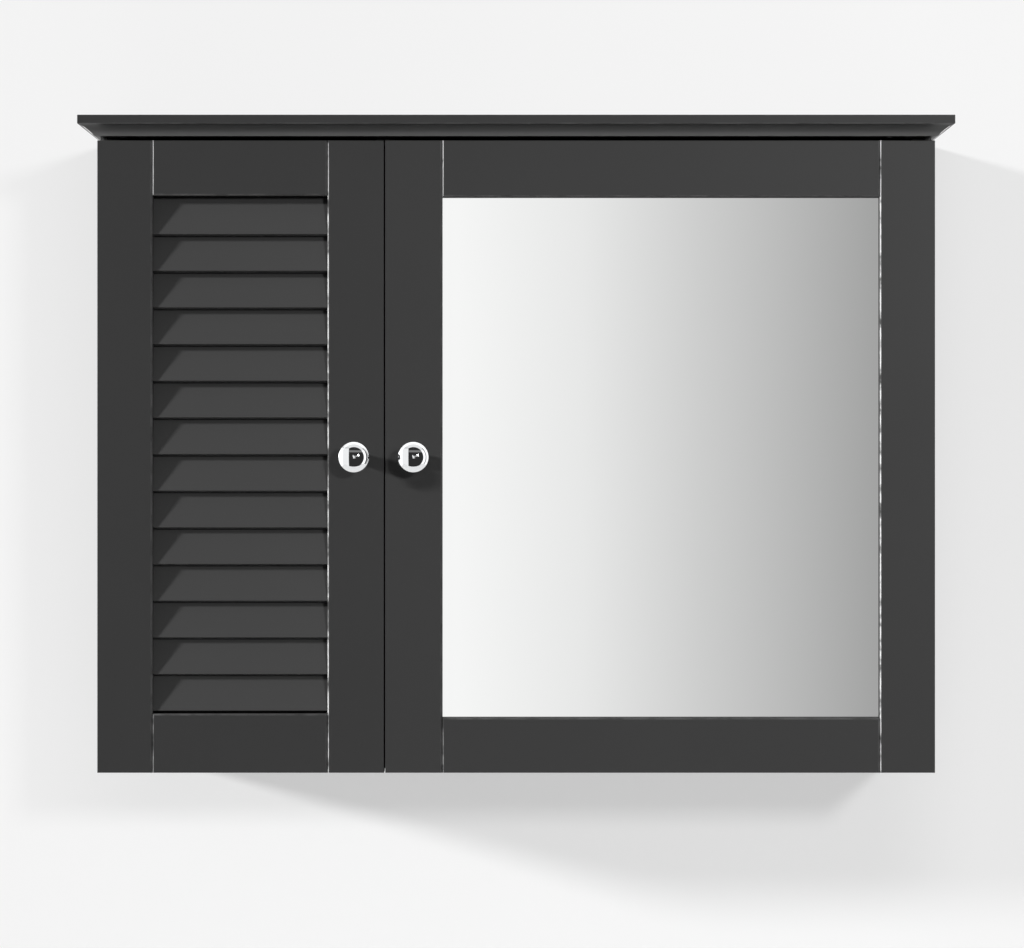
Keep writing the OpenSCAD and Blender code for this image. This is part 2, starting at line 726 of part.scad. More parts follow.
module catch_screw_spots() on_both_faces()
    for (dz = [-1, 1])
        translate([divider_left_x - catch_w, catch_y + catch_d / 2 + 1,
                   catch_z + dz * (catch_h / 2 - 4.5)])
            rotate([0, -90, 0]) children();

module catch_bodies() color(magnet_case) difference() {
    on_both_faces() catch_case();
    catch_screw_spots() flat_screw(plate_screw_l + 6, fit / 2);
}

module catch_magnets() color(steel) on_both_faces() {
    catch_insert();
    catch_core();
}

module catch_screws() color(steel) catch_screw_spots() driven_screw(plate_screw_l + 6);

// Louvred door

module left_door_hinge_stile() color(paint) difference() {
    stile_bar(-half_w, louvre_left_x, edge_arris, arris);
    pivot_cuts();
    top_tenons(louvre_left_x, louvre_right_x, louvre_high_z, fit);
    bottom_tenons(louvre_left_x, louvre_right_x, louvre_low_z, fit);
    for (k = [1:slat_count]) slat(k, fit);
}

module left_door_knob_stile() color(paint) difference() {
    stile_bar(louvre_right_x, left_free_x, arris, edge_arris);
    top_tenons(louvre_left_x, louvre_right_x, louvre_high_z, fit);
    bottom_tenons(louvre_left_x, louvre_right_x, louvre_low_z, fit);
    for (k = [1:slat_count]) slat(k, fit);
    knob_hole(left_knob_x);
    strike_screws(left_strike_x) flat_screw(plate_screw_l, fit / 2);
}

module left_door_top_rail() color(paint) {
    frame_bar(louvre_left_x, louvre_right_x, louvre_high_z, doors_high_z, high = edge_arris);
    top_tenons(louvre_left_x, louvre_right_x, louvre_high_z);
}

module left_door_bottom_rail() color(paint) {
    frame_bar(louvre_left_x, louvre_right_x, doors_low_z, louvre_low_z, low = edge_arris);
    bottom_tenons(louvre_left_x, louvre_right_x, louvre_low_z);
}

module left_door_bushes() color(nylon) bushes();

module left_knob() color(chrome) knob_on(left_knob_x);

module left_knob_screw() color(steel) knob_screw(left_knob_x);

module left_door_bumpers() color(clear_rubber) bumpers(left_free_x - bumper_inset);

module left_strike_plate() color(steel) strike_plate(left_strike_x);

module left_strike_screws() color(steel) strike_screws(left_strike_x) driven_screw(plate_screw_l);

// Mirror door, whose hinge side is the mirror image of the louvred door's

module right_door_hinge_stile() color(paint) difference() {
    stile_bar(mirror_right_x, half_w, arris, edge_arris);
    mirror([1, 0, 0]) pivot_cuts();
    top_tenons(mirror_left_x, mirror_right_x, mirror_high_z, fit);
    bottom_tenons(mirror_left_x, mirror_right_x, mirror_low_z, fit);
    mirror_rebate();
    backing_screw_holes();
}

module right_door_knob_stile() color(paint) difference() {
    stile_bar(right_free_x, mirror_left_x, edge_arris, arris);
    top_tenons(mirror_left_x, mirror_right_x, mirror_high_z, fit);
    bottom_tenons(mirror_left_x, mirror_right_x, mirror_low_z, fit);
    mirror_rebate();
    backing_screw_holes();
    knob_hole(right_knob_x);
    strike_screws(right_strike_x) flat_screw(plate_screw_l, fit / 2);
}

module right_door_top_rail() color(paint) difference() {
    union() {
        frame_bar(mirror_left_x, mirror_right_x, mirror_high_z, doors_high_z, high = edge_arris);
        top_tenons(mirror_left_x, mirror_right_x, mirror_high_z);
    }
    mirror_rebate();
    backing_screw_holes();
}

module right_door_bottom_rail() color(paint) difference() {
    union() {
        frame_bar(mirror_left_x, mirror_right_x, doors_low_z, mirror_low_z, low = edge_arris);
        bottom_tenons(mirror_left_x, mirror_right_x, mirror_low_z);
    }
    mirror_rebate();
    backing_screw_holes();
}

module backing_screw_holes()
    for (p = backing_spots)
        translate([p[0], backing_y + backing_t, p[1]]) backing_screw(fit / 2);

module right_door_bushes() color(nylon) mirror([1, 0, 0]) bushes();

module right_knob() color(chrome) knob_on(right_knob_x);

module right_knob_screw() color(steel) knob_screw(right_knob_x);

module right_door_bumpers() color(clear_rubber) bumpers(right_free_x + bumper_inset);

module right_strike_plate() color(steel) strike_plate(right_strike_x);

module right_strike_screws() color(steel)
    strike_screws(right_strike_x) driven_screw(plate_screw_l);

module mirror_glass() color(silvered)
    block([mirror_left_x - glass_lap + 0.5, mirror_y, mirror_low_z - glass_lap + 0.5],
          [mirror_right_x + glass_lap - 0.5, mirror_y + glass_t, mirror_high_z + glass_lap - 0.5]);

module mirror_backing() color(hardboard) difference() {
    block([mirror_left_x - backing_lap + 0.5, backing_y, mirror_low_z - backing_lap + 0.5],
          [mirror_right_x + backing_lap - 0.5, backing_y + backing_t,
           mirror_high_z + backing_lap - 0.5]);
    backing_screw_holes();
}

module mirror_backing_screws() color(steel)
    for (p = backing_spots)
        translate([p[0], backing_y + backing_t, p[1]]) backing_screw();

top_board();
left_side();
right_side();
bottom_panel();
divider();
hanging_rail();
back_panel();
left_upper_shelf();
left_lower_shelf();
right_upper_shelf();
right_lower_shelf();
shelf_pins();
cam_locks();
cam_bolts();
divider_screws();
back_panel_nails();
top_pivot_plates();
bottom_pivot_plates();
pivot_pins();
pivot_plate_screws();
catch_bodies();
catch_magnets();
catch_screws();
left_door_hinge_stile();
left_door_knob_stile();
left_door_top_rail();
left_door_bottom_rail();
left_door_bushes();
left_knob();
left_knob_screw();
left_door_bumpers();
left_strike_plate();
left_strike_screws();
for (k = [1:slat_count])
    color(paint) slat(k);
right_door_hinge_stile();
right_door_knob_stile();
right_door_top_rail();
right_door_bottom_rail();
right_door_bushes();
right_knob();
right_knob_screw();
right_door_bumpers();
right_strike_plate();
right_strike_screws();
mirror_glass();
mirror_backing();
mirror_backing_screws();
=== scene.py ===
"""Finishes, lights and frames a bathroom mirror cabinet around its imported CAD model."""

import logging
import math
from dataclasses import dataclass, field
from enum import Enum
from typing import Callable, Mapping, Optional, Sequence

import bmesh
import bpy
from bmesh.types import BMEdge, BMesh, BMFace
from bpy.types import Material, Node, NodeSocket, NodeTree
from mathutils import Matrix, Vector


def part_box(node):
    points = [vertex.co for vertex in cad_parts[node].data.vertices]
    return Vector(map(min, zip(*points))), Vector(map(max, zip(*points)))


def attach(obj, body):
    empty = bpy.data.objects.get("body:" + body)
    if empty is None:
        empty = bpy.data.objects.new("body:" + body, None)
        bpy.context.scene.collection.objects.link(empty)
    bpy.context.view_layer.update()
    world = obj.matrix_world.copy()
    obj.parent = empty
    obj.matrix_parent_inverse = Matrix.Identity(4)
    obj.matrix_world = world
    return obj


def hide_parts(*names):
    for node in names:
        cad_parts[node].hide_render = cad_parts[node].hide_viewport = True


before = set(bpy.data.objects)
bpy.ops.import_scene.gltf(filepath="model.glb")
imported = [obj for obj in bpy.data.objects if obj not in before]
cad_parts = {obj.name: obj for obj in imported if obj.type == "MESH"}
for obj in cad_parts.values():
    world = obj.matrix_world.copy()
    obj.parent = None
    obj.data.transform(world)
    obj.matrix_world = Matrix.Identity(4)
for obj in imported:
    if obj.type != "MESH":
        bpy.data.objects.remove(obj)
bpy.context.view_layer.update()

log = logging.getLogger("cabinet")

MM = 0.001
WELD = 0.01 * MM
FLAT = math.radians(0.5)
EASED_WEAR = 0.2
Grey = tuple[float, float, float, float]


def grey(level: float) -> Grey:
    """An opaque neutral colour of that linear level."""
    return (level, level, level, 1.0)


# Node trees


class Graph:
    """A shader node tree that is being wired up from nothing."""

    def __init__(self, tree: NodeTree) -> None:
        """Empty the tree and keep it."""
        tree.nodes.clear()
        self.tree = tree

    def feed(self, socket: NodeSocket, value: object) -> None:
        """Link a socket or a node's first output into an input, or set the input's own value."""
        if isinstance(value, Node):
            value = value.outputs[0]
        if isinstance(value, NodeSocket):
            self.tree.links.new(value, socket)
        else:
            socket.default_value = value

    def node(self, kind: str, inputs: Optional[dict] = None, **settings: object) -> Node:
        """Add a node.

        Args:
            kind: Blender's identifier of the node.
            inputs: A value, a socket or a node for each input, by name or index.
            settings: The node's own properties.

        Returns:
            The new node.
        """
        made = self.tree.nodes.new(kind)
        for name, value in settings.items():
            setattr(made, name, value)
        for key, value in (inputs or {}).items():
            self.feed(made.inputs[key], value)
        return made

    def math(self, operation: str, a: object, b: object = 0.0, clamp: bool = False) -> NodeSocket:
        """Combine two numbers, and keep the result between 0 and 1 if it is clamped."""
        made = self.node("ShaderNodeMath", {0: a, 1: b}, operation=operation, use_clamp=clamp)
        return made.outputs[0]

    def ramp(self, value: object, start: object, end: object, low: object = 0.0,
             high: object = 1.0, smooth: bool = True) -> NodeSocket:
        """Carry a value from one range to another, held at both ends.

        Args:
            value: The value to carry over.
            start: Where the result is low.
            end: Where the result is high.
            low: Result at the start.
            high: Result at the end.
            smooth: Whether the way between is eased at both ends.

        Returns:
            The result's socket.
        """
        kind = "SMOOTHSTEP" if smooth else "LINEAR"
        made = self.node("ShaderNodeMapRange", {0: value, 1: start, 2: end, 3: low, 4: high},
                         interpolation_type=kind)
        return made.outputs[0]

    def mix(self, factor: object, a: object, b: object) -> NodeSocket:
        """Mix two numbers by a factor."""
        return self.node("ShaderNodeMix", {0: factor, 2: a, 3: b}, data_type="FLOAT").outputs[0]

    def blend(self, factor: object, a: object, b: object) -> NodeSocket:
        """Mix two colours by a factor."""
        return self.node("ShaderNodeMix", {0: factor, 6: a, 7: b}, data_type="RGBA").outputs[2]

    def noise(self, vector: object, scale: object, detail: float = 2.0,
              rough: float = 0.5) -> NodeSocket:
        """Noise between 0 and 1, with so many features per metre and so many finer layers."""
        made = self.node("ShaderNodeTexNoise", {"Vector": vector, "Scale": scale,
                                                "Detail": detail, "Roughness": rough})
        return made.outputs[0]

    def part(self, vector: object, axis: str) -> NodeSocket:
        """One part of a vector."""
        return self.node("ShaderNodeSeparateXYZ", {0: vector}).outputs[axis]

    def fade(self, factor: object, a: object, b: object) -> Node:
        """Mix two shaders by a factor."""
        return self.node("ShaderNodeMixShader", {0: factor, 1: a, 2: b})

    def one_sided(self, shader: Node) -> Node:
        """Make a surface clear from behind."""
        behind = self.node("ShaderNodeNewGeometry").outputs["Backfacing"]
        return self.fade(behind, shader, self.node("ShaderNodeBsdfTransparent"))


def blank(name: str) -> tuple[Material, Graph]:
    """A new material and its empty tree."""
    made = bpy.data.materials.new(name)
    made.use_nodes = True
    return made, Graph(made.node_tree)


class Port(Enum):
    """Kinds of socket on a shader group."""

    COLOUR = "NodeSocketColor"
    VALUE = "NodeSocketFloat"
    VECTOR = "NodeSocketVector"


@dataclass
class ShaderGroup:
    """An effect that several materials place with their own values."""

    name: str
    inputs: dict[str, Port]
    outputs: dict[str, Port]
    wire: Callable[[Graph, Mapping], dict]
    tree: NodeTree = field(init=False)

    def __post_init__(self) -> None:
        """Make the group's sockets and wire what is inside."""
        self.tree = bpy.data.node_groups.new(self.name, "ShaderNodeTree")
        for way, ports in (("INPUT", self.inputs), ("OUTPUT", self.outputs)):
            for name, port in ports.items():
                self.tree.interface.new_socket(name=name, in_out=way, socket_type=port.value)
        graph = Graph(self.tree)
        made = graph.node("NodeGroupOutput")
        for name, value in self.wire(graph, graph.node("NodeGroupInput").outputs).items():
            graph.feed(made.inputs[name], value)

    def place(self, graph: Graph, inputs: dict) -> Node:
        """Place the group in a material.

        Args:
            graph: The material's tree.
            inputs: A value or a socket for each of the group's inputs.

        Returns:
            The group's node.
        """
        made = graph.node("ShaderNodeGroup", node_tree=self.tree)
        for name, value in inputs.items():
            graph.feed(made.inputs[name], value)
        return made


def wire_film(graph: Graph, given: Mapping) -> dict:
    """Sprayed film: faint clouding, fine speckle in the gloss and the ripple of orange peel.

    Args:
        graph: The group's tree.
        given: The group's inputs.

    Returns:
        A value for each of its outputs.
    """
    spot = given["Vector"]
    cloud = graph.math("SUBTRACT", graph.noise(spot, scale=7.0, detail=3.0), 0.5)
    cloud = graph.math("MULTIPLY", cloud, given["Clouding"])
    shade = graph.math("ADD", cloud, 1.0)
    speck = graph.math("SUBTRACT", graph.noise(spot, scale=1400.0), 0.5)
    speck = graph.math("MULTIPLY", speck, given["Speckle"])
    return {"Colour": graph.node("ShaderNodeVectorMath", {0: given["Colour"], "Scale": shade},
                                 operation="SCALE"),
            "Roughness": graph.math("ADD", given["Roughness"], speck, True),
            "Height": graph.noise(spot, given["Peel Scale"], detail=2.0, rough=0.4)}


def wire_rub_and_highlight(graph: Graph, given: Mapping) -> dict:
    """Rubbed arrises and painted highlights: the film thins in broken patches where the mesh is
    marked as an arris, and the strong marks on bevels that face the window are painted highlight.

    Args:
        graph: The group's tree.
        given: The group's inputs.

    Returns:
        A value for each of its outputs.
    """
    mark = graph.node("ShaderNodeAttribute", attribute_type="GEOMETRY", attribute_name="arris")
    patch = graph.noise(given["Vector"], given["Patch Scale"], detail=3.0, rough=0.6)
    patch = graph.ramp(patch, start=0.35, end=0.65)
    mask = graph.math("MULTIPLY", mark.outputs["Fac"], patch)
    mask = graph.math("MULTIPLY", mask, given["Amount"], True)
    return {"Colour": graph.blend(mask, given["Colour"], given["Rubbed And Highlight Colour"])}


def wire_dust(graph: Graph, given: Mapping) -> dict:
    """Settled dust: a broken grey veil on faces that look up.

    Args:
        graph: The group's tree.
        given: The group's inputs.

    Returns:
        A value for each of its outputs.
    """
    up = graph.part(graph.node("ShaderNodeNewGeometry").outputs["Normal"], "Z")
    veil = graph.ramp(up, start=0.6, end=1.0)
    patch = graph.noise(given["Vector"], scale=26.0, detail=5.0, rough=0.65)
    mask = graph.math("MULTIPLY", veil, graph.ramp(patch, start=0.3, end=0.8))
    mask = graph.math("MULTIPLY", mask, given["Amount"], True)
    return {"Colour": graph.blend(mask, given["Colour"], given["Dust Colour"]), "Mask": mask}


def wire_grain(graph: Graph, given: Mapping) -> dict:
    """Worked surface: fine grain drawn out along one direction, with cloudy gloss.

    Args:
        graph: The group's tree.
        given: The group's inputs.

    Returns:
        A value for each of its outputs.
    """
    drawn = graph.node("ShaderNodeVectorMath", {0: given["Vector"], 1: given["Stretch"]},
                       operation="MULTIPLY")
    line = graph.noise(drawn, given["Scale"], detail=4.0, rough=0.6)
    tone = graph.ramp(line, start=0.2, end=0.8, smooth=False)
    cloud = graph.math("SUBTRACT", graph.noise(given["Vector"], scale=60.0), 0.5)
    swing = graph.math("MULTIPLY", cloud, given["Gloss Swing"])
    return {"Colour": graph.blend(tone, given["Dark Colour"], given["Colour"]),
            "Roughness": graph.math("ADD", given["Roughness"], swing, True), "Height": line}


class Effects:
    """The shader groups that the finishes share."""

    def __init__(self) -> None:
        """Build each group once."""
        colour, value, vector = Port.COLOUR, Port.VALUE, Port.VECTOR
        self.film = ShaderGroup(
            "Sprayed Film",
            {"Vector": vector, "Colour": colour, "Clouding": value, "Roughness": value,
             "Speckle": value, "Peel Scale": value},
            {"Colour": colour, "Roughness": value, "Height": value}, wire_film)
        self.rub = ShaderGroup(
            "Rubbed Arris And Painted Highlight",
            {"Vector": vector, "Colour": colour, "Rubbed And Highlight Colour": colour, "Amount": value,
             "Patch Scale": value},
            {"Colour": colour}, wire_rub_and_highlight)
        self.dust = ShaderGroup(
            "Settled Dust",
            {"Vector": vector, "Colour": colour, "Dust Colour": colour, "Amount": value},
            {"Colour": colour, "Mask": value}, wire_dust)
        self.grain = ShaderGroup(
            "Worked Grain",
            {"Vector": vector, "Colour": colour, "Dark Colour": colour, "Stretch": vector,
             "Scale": value, "Roughness": value, "Gloss Swing": value},
            {"Colour": colour, "Roughness": value, "Height": value}, wire_grain)


# Finishes


class Slot(Enum):
    """The record's material slots."""

    PAINT = "painted_board"
    ZINC = "zinc_steel"
    BLACK_STEEL = "black_steel"
    CHROME = "chrome"
    NYLON = "nylon"
    CASE = "catch_case"
    RUBBER = "clear_rubber"
    MIRROR = "mirror"
    HARDBOARD = "hardboard"


@dataclass(frozen=True)
class Finish:
    """A material whose shader is a Principled BSDF with a bumped surface."""

    name: str
    slot: Slot
    ior: float = 1.5
    metallic: float = 0.0
    transmission: float = 0.0
    coat: float = 0.0
    bump_depth: float = 0.02 * MM
    bump_strength: float = 0.5

    def wire(self, graph: Graph, spot: NodeSocket, effects: Effects) -> tuple:
        """Wire the surface at those object coordinates, as colour, roughness and height."""
        raise NotImplementedError

    def material(self, effects: Effects) -> Material:
        """Build the material.

        Args:
            effects: The shared groups.

        Returns:
            The new material.
        """
        made, graph = blank(self.name)
        spot = graph.node("ShaderNodeTexCoord").outputs["Object"]
        colour, roughness, height = self.wire(graph, spot, effects)
        bump = graph.node("ShaderNodeBump", {"Strength": self.bump_strength,
                                             "Distance": self.bump_depth, "Height": height})
        shader = graph.node("ShaderNodeBsdfPrincipled", {
            "Base Color": colour, "Roughness": roughness, "Metallic": self.metallic,
            "IOR": self.ior, "Transmission Weight": self.transmission,
            "Coat Weight": self.coat, "Normal": bump})
        graph.node("ShaderNodeOutputMaterial", {"Surface": shader})
        return made


@dataclass(frozen=True)
class PaintFinish(Finish):
    """Satin lacquer sprayed on board."""

    colour: Grey = grey(0.033)
    # rubbed is the pale colour of rubbed arrises, and also of the painted highlights on bevels that
    # face the window.
    rubbed: Grey = grey(0.5)
    dust_colour: Grey = grey(0.3)
    roughness: float = 0.38
    clouding: float = 0.10
    speckle: float = 0.12
    peel_scale: float = 420.0
    patch_scale: float = 70.0
    rub_and_highlight_amount: float = 0.6
    dust_amount: float = 0.06
    dusty_roughness: float = 0.9

    def base(self, graph: Graph, spot: NodeSocket) -> object:
        """Colour of the clean film."""
        return self.colour

    def wire(self, graph: Graph, spot: NodeSocket, effects: Effects) -> tuple:
        """Wire the film, then rubbed arrises with their painted highlights, then dust.

        Args:
            graph: The material's tree.
            spot: Object coordinates.
            effects: The shared groups.

        Returns:
            The sockets of the colour, the roughness and the height.
        """
        film = effects.film.place(graph, {
            "Vector": spot, "Colour": self.base(graph, spot), "Clouding": self.clouding,
            "Roughness": self.roughness, "Speckle": self.speckle, "Peel Scale": self.peel_scale})
        rub = effects.rub.place(graph, {
            "Vector": spot, "Colour": film.outputs["Colour"], "Rubbed And Highlight Colour": self.rubbed,
            "Amount": self.rub_and_highlight_amount, "Patch Scale": self.patch_scale})
        dust = effects.dust.place(graph, {
            "Vector": spot, "Colour": rub.outputs["Colour"], "Dust Colour": self.dust_colour,
            "Amount": self.dust_amount})
        rough = graph.mix(dust.outputs["Mask"], film.outputs["Roughness"], self.dusty_roughness)
        return dust.outputs["Colour"], rough, film.outputs["Height"]


@dataclass(frozen=True)
class HollowFinishWithPaintedLight(PaintFinish):
    """Lacquer with painted light: paler than the door lacquer, and paler still towards the foot of
    the moulding's hollow, for light that falls there from below.
    """

    painted_foot_light: Grey = grey(0.13)
    foot_z: float = 30.0 * MM
    plain_z: float = 35.0 * MM

    def base(self, graph: Graph, spot: NodeSocket) -> object:
        """Colour of the clean film, with the painted light blended in by height."""
        rise = graph.ramp(graph.part(spot, "Z"), self.foot_z, self.plain_z)
        return graph.blend(rise, self.painted_foot_light, self.colour)


@dataclass(frozen=True)
class WorkedFinish(Finish):
    """Metal, plastic or board with a fine grain."""

    colour: Grey = grey(0.5)
    dark: Grey = grey(0.4)
    stretch: tuple[float, float, float] = (1.0, 1.0, 1.0)
    grain_scale: float = 500.0
    roughness: float = 0.4
    gloss_swing: float = 0.1

    def wire(self, graph: Graph, spot: NodeSocket, effects: Effects) -> tuple:
        """Wire the grain alone."""
        grain = effects.grain.place(graph, {
            "Vector": spot, "Colour": self.colour, "Dark Colour": self.dark,
            "Stretch": self.stretch, "Scale": self.grain_scale, "Roughness": self.roughness,
            "Gloss Swing": self.gloss_swing})
        return tuple(grain.outputs[name] for name in ("Colour", "Roughness", "Height"))


class Palette:
    """Every finish on the cabinet, each built once."""

    def __init__(self) -> None:
        """Build the groups and the materials."""
        effects = Effects()
        finishes = (
            PaintFinish("Satin Dark Grey Lacquer", Slot.PAINT, ior=1.42),
            WorkedFinish("Bright Zinc", Slot.ZINC, metallic=1.0, colour=(0.62, 0.64, 0.66, 1.0),
                         dark=(0.44, 0.45, 0.46, 1.0), grain_scale=900.0, roughness=0.34),
            WorkedFinish("Black Coated Steel", Slot.BLACK_STEEL, colour=grey(0.022),
                         dark=grey(0.014), grain_scale=1500.0, roughness=0.42),
            WorkedFinish("Polished Chrome", Slot.CHROME, metallic=1.0,
                         colour=(0.88, 0.89, 0.90, 1.0), dark=(0.85, 0.86, 0.87, 1.0),
                         grain_scale=300.0, roughness=0.035, gloss_swing=0.03,
                         bump_depth=0.002 * MM, bump_strength=0.2),
            WorkedFinish("Black Nylon", Slot.NYLON, colour=grey(0.03), dark=grey(0.02),
                         grain_scale=700.0, roughness=0.45),
            WorkedFinish("Moulded Black Plastic", Slot.CASE, colour=grey(0.028),
                         dark=grey(0.018), grain_scale=1800.0, roughness=0.5),
            WorkedFinish("Clear Soft Rubber", Slot.RUBBER, ior=1.45, transmission=0.8,
                         colour=(0.86, 0.89, 0.90, 1.0), dark=(0.80, 0.83, 0.85, 1.0),
                         grain_scale=900.0, roughness=0.28),
            WorkedFinish("Silvered Glass", Slot.MIRROR, metallic=1.0,
                         colour=(0.90, 0.905, 0.90, 1.0), dark=(0.895, 0.90, 0.895, 1.0),
                         grain_scale=12.0, roughness=0.006, gloss_swing=0.006,
                         bump_depth=0.0004 * MM, bump_strength=0.1),
            WorkedFinish("Brown Hardboard", Slot.HARDBOARD, colour=(0.23, 0.145, 0.08, 1.0),
                         dark=(0.13, 0.078, 0.042, 1.0), stretch=(1.0, 1.0, 0.35),
                         grain_scale=1100.0, roughness=0.72, bump_depth=0.08 * MM),
        )
        self.by_slot = {finish.slot: finish.material(effects) for finish in finishes}
        further = {
            # Painted light: the slats are painted paler than the frames because they face up into
            # the light.
            "slats": PaintFinish("Satin Dark Grey Lacquer On Slats With Painted Light", Slot.PAINT, ior=1.42,
                                 colour=grey(0.048)),
            # Painted sheen: the right door's frame is painted a touch paler to stand in for the
            # lamp's broad sheen on that door.
            "right_door": PaintFinish("Satin Dark Grey Lacquer On Right Door With Painted Sheen", Slot.PAINT,
                                      ior=1.42, colour=grey(0.0357)),
            # Painted shade: narrow outer arrises get a slightly darker, rough lacquer that draws a
            # dark outline round the doors.
            "dull_with_painted_shade": PaintFinish("Dull Lacquer With Painted Shade On Outer Arrises", Slot.PAINT, ior=1.3,
                                colour=grey(0.03), roughness=0.75),
            # Painted light: the hollow and the end returns are painted paler than the doors, palest
            # at the foot, for light from below.
            "hollow": HollowFinishWithPaintedLight("Satin Dark Grey Lacquer In The Hollow With Painted Light", Slot.PAINT, ior=1.42,
                                   colour=grey(0.056)),
            "returns": HollowFinishWithPaintedLight("Glossy Dark Grey Lacquer On The Returns With Painted Light", Slot.PAINT,
                                    ior=1.6, coat=1.0, colour=grey(0.056), roughness=0.08),
            "glass_edge": WorkedFinish("Ground Glass Edge", Slot.MIRROR,
                                       colour=(0.16, 0.27, 0.23, 1.0), dark=(0.10, 0.18, 0.15, 1.0),
                                       grain_scale=1600.0, roughness=0.3),
            "glass_back": WorkedFinish("Grey Mirror Backing Paint", Slot.MIRROR, colour=grey(0.17),
                                       dark=grey(0.12), grain_scale=800.0, roughness=0.6),
        }
        self.further = {name: finish.material(effects) for name, finish in further.items()}


# Mesh work


@dataclass
class Bench:
    """Turns bmeshes into finished pieces that ride on their bodies."""

    palette: Palette

    def piece(self, bm: BMesh, name: str, slot: Slot, body: str,
              replaced: Sequence[str] = (), sharp: float = 32.0,
              extra: Sequence[Material] = (), finish: Optional[Material] = None) -> None:
        """Make a piece of the cabinet from a bmesh.

        Args:
            bm: The shape, in metres in the shared frame. It is freed.
            name: The piece's name.
            slot: The record's material slot.
            body: The body that the piece rides on.
            replaced: CAD nodes that the piece stands for.
            sharp: Angle in degrees past which an edge is drawn sharp.
            extra: Materials for the faces with index 1 and above.
            finish: Material of the other faces, or else the slot's own.
        """
        mesh = bpy.data.meshes.new(name)
        bm.to_mesh(mesh)
        bm.free()
        mesh.shade_smooth()
        mesh.set_sharp_from_angle(angle=math.radians(sharp))
        for material in (finish or self.palette.by_slot[slot], *extra):
            mesh.materials.append(material)
        made = bpy.data.objects.new(name, mesh)
        bpy.context.scene.collection.objects.link(made)
        flat = made.modifiers.new("Flat faces first", "WEIGHTED_NORMAL")
        flat.keep_sharp = True
        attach(made, body)
        if replaced:
            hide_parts(*replaced)
        log.info("%s: %d faces on %s", name, len(mesh.polygons), body)


def welded_copy(node: str) -> BMesh:
    """Copy a CAD node's mesh with its triangles joined into whole faces.

    Args:
        node: The CAD node.

    Returns:
        The copy, which the caller frees.
    """
    bm = bmesh.new()
    bm.from_mesh(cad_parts[node].data)
    bmesh.ops.remove_doubles(bm, verts=bm.verts, dist=WELD)
    bmesh.ops.dissolve_limit(bm, angle_limit=FLAT, use_dissolve_boundaries=False,
                             verts=bm.verts, edges=bm.edges)
    return bm


def ease(bm: BMesh, edges: Sequence[BMEdge], radius: float,
         segments: int = 2, rubbed: bool = True) -> list[BMFace]:
    """Round chosen edges.

    Args:
        bm: The shape.
        edges: The edges to round.
        radius: How far back from each edge the rounding starts.
        segments: Number of faces across it.
        rubbed: Whether the new faces are marked as arrises for the rubbed paint.

    Returns:
        The new faces.
    """
    made = bmesh.ops.bevel(bm, geom=list(edges), offset=radius, offset_type="OFFSET",
                           segments=segments, profile=0.5, affect="EDGES", clamp_overlap=True,
                           material=-1)["faces"]
    if rubbed:
        mark_arris(bm, made, EASED_WEAR)
    return made


def mark_arris(bm: BMesh, faces: Sequence[BMFace], wear: float) -> None:
    """Mark faces as arrises for the rubbed paint, which also carries painted highlights.

    Args:
        bm: The mesh.
        faces: Its arrises.
        wear: How far the paint is lightened there: light wear at low values, painted highlight at
            the high values given to bevels that face the window. Above 1 the rubbed patches spread.
    """
    layer = bm.loops.layers.float.get("arris") or bm.loops.layers.float.new("arris")
    for face in faces:
        for loop in face.loops:
            loop[layer] = wear


def strip_width(face: BMFace) -> float:
    """Width of a long narrow face."""
    return face.calc_area() / max(edge.calc_length() for edge in face.edges)


def crisp(edge: BMEdge, shortest: float, steepest: float = 30.0) -> bool:
    """Whether an edge is a long outer corner.

    Args:
        edge: The edge.
        shortest: Least length in metres.
        steepest: Least angle between its faces in degrees.

    Returns:
        True for a convex edge that is long and sharp enough.
    """
    if not edge.is_manifold or not edge.is_convex:
        return False
    return edge.calc_length() > shortest and edge.calc_face_angle() > math.radians(steepest)


def box_mesh(low: Vector, high: Vector) -> BMesh:
    """A box between two corners as a bmesh.

    Args:
        low: Lowest corner.
        high: Highest corner.

    Returns:
        The box, which the caller frees.
    """
    bm = bmesh.new()
    place = Matrix.Translation((low + high) / 2) @ Matrix.Diagonal((*(high - low), 1.0))
    bmesh.ops.create_cube(bm, size=1.0, matrix=place)
    return bm


def arc(centre: tuple[float, float], radius: float, start: float, end: float,
        steps: int) -> list[tuple[float, float]]:
    """Points along an arc of a profile.

    Args:
        centre: Radius and height of the arc's centre.
        radius: The arc's radius.
        start: Angle of the first point in degrees, from the outward direction.
        end: Angle of the last point.
        steps: Number of spaces between points.

    Returns:
        The points as radius and height.
    """
    turns = (math.radians(start + (end - start) * k / steps) for k in range(steps + 1))
    return [(centre[0] + radius * math.cos(t), centre[1] + radius * math.sin(t)) for t in turns]


def spin(bm: BMesh, profile: Sequence[tuple[float, float]], foot: Vector,
         axis: Vector, steps: int) -> None:
    """Spin a profile about an axis into a closed shape.

    Args:
        bm: Where the shape is added.
        profile: Points as radius and height above the foot, from the axis to the axis.
        foot: The point on the axis at height zero.
        axis: Unit direction in which the height grows, along Y or Z.
        steps: Number of faces round.
    """
    side = Vector((1.0, 0.0, 0.0))
    verts = [bm.verts.new(foot + side * radius + axis * height) for radius, height in profile]
    edges = [bm.edges.new(pair) for pair in zip(verts, verts[1:])]
    bmesh.ops.spin(bm, geom=[*verts, *edges], cent=foot, axis=axis, angle=math.tau, steps=steps,
                   use_merge=True)
    bmesh.ops.remove_doubles(bm, verts=bm.verts, dist=WELD)
    bmesh.ops.recalc_face_normals(bm, faces=bm.faces)


# The cabinet's pieces


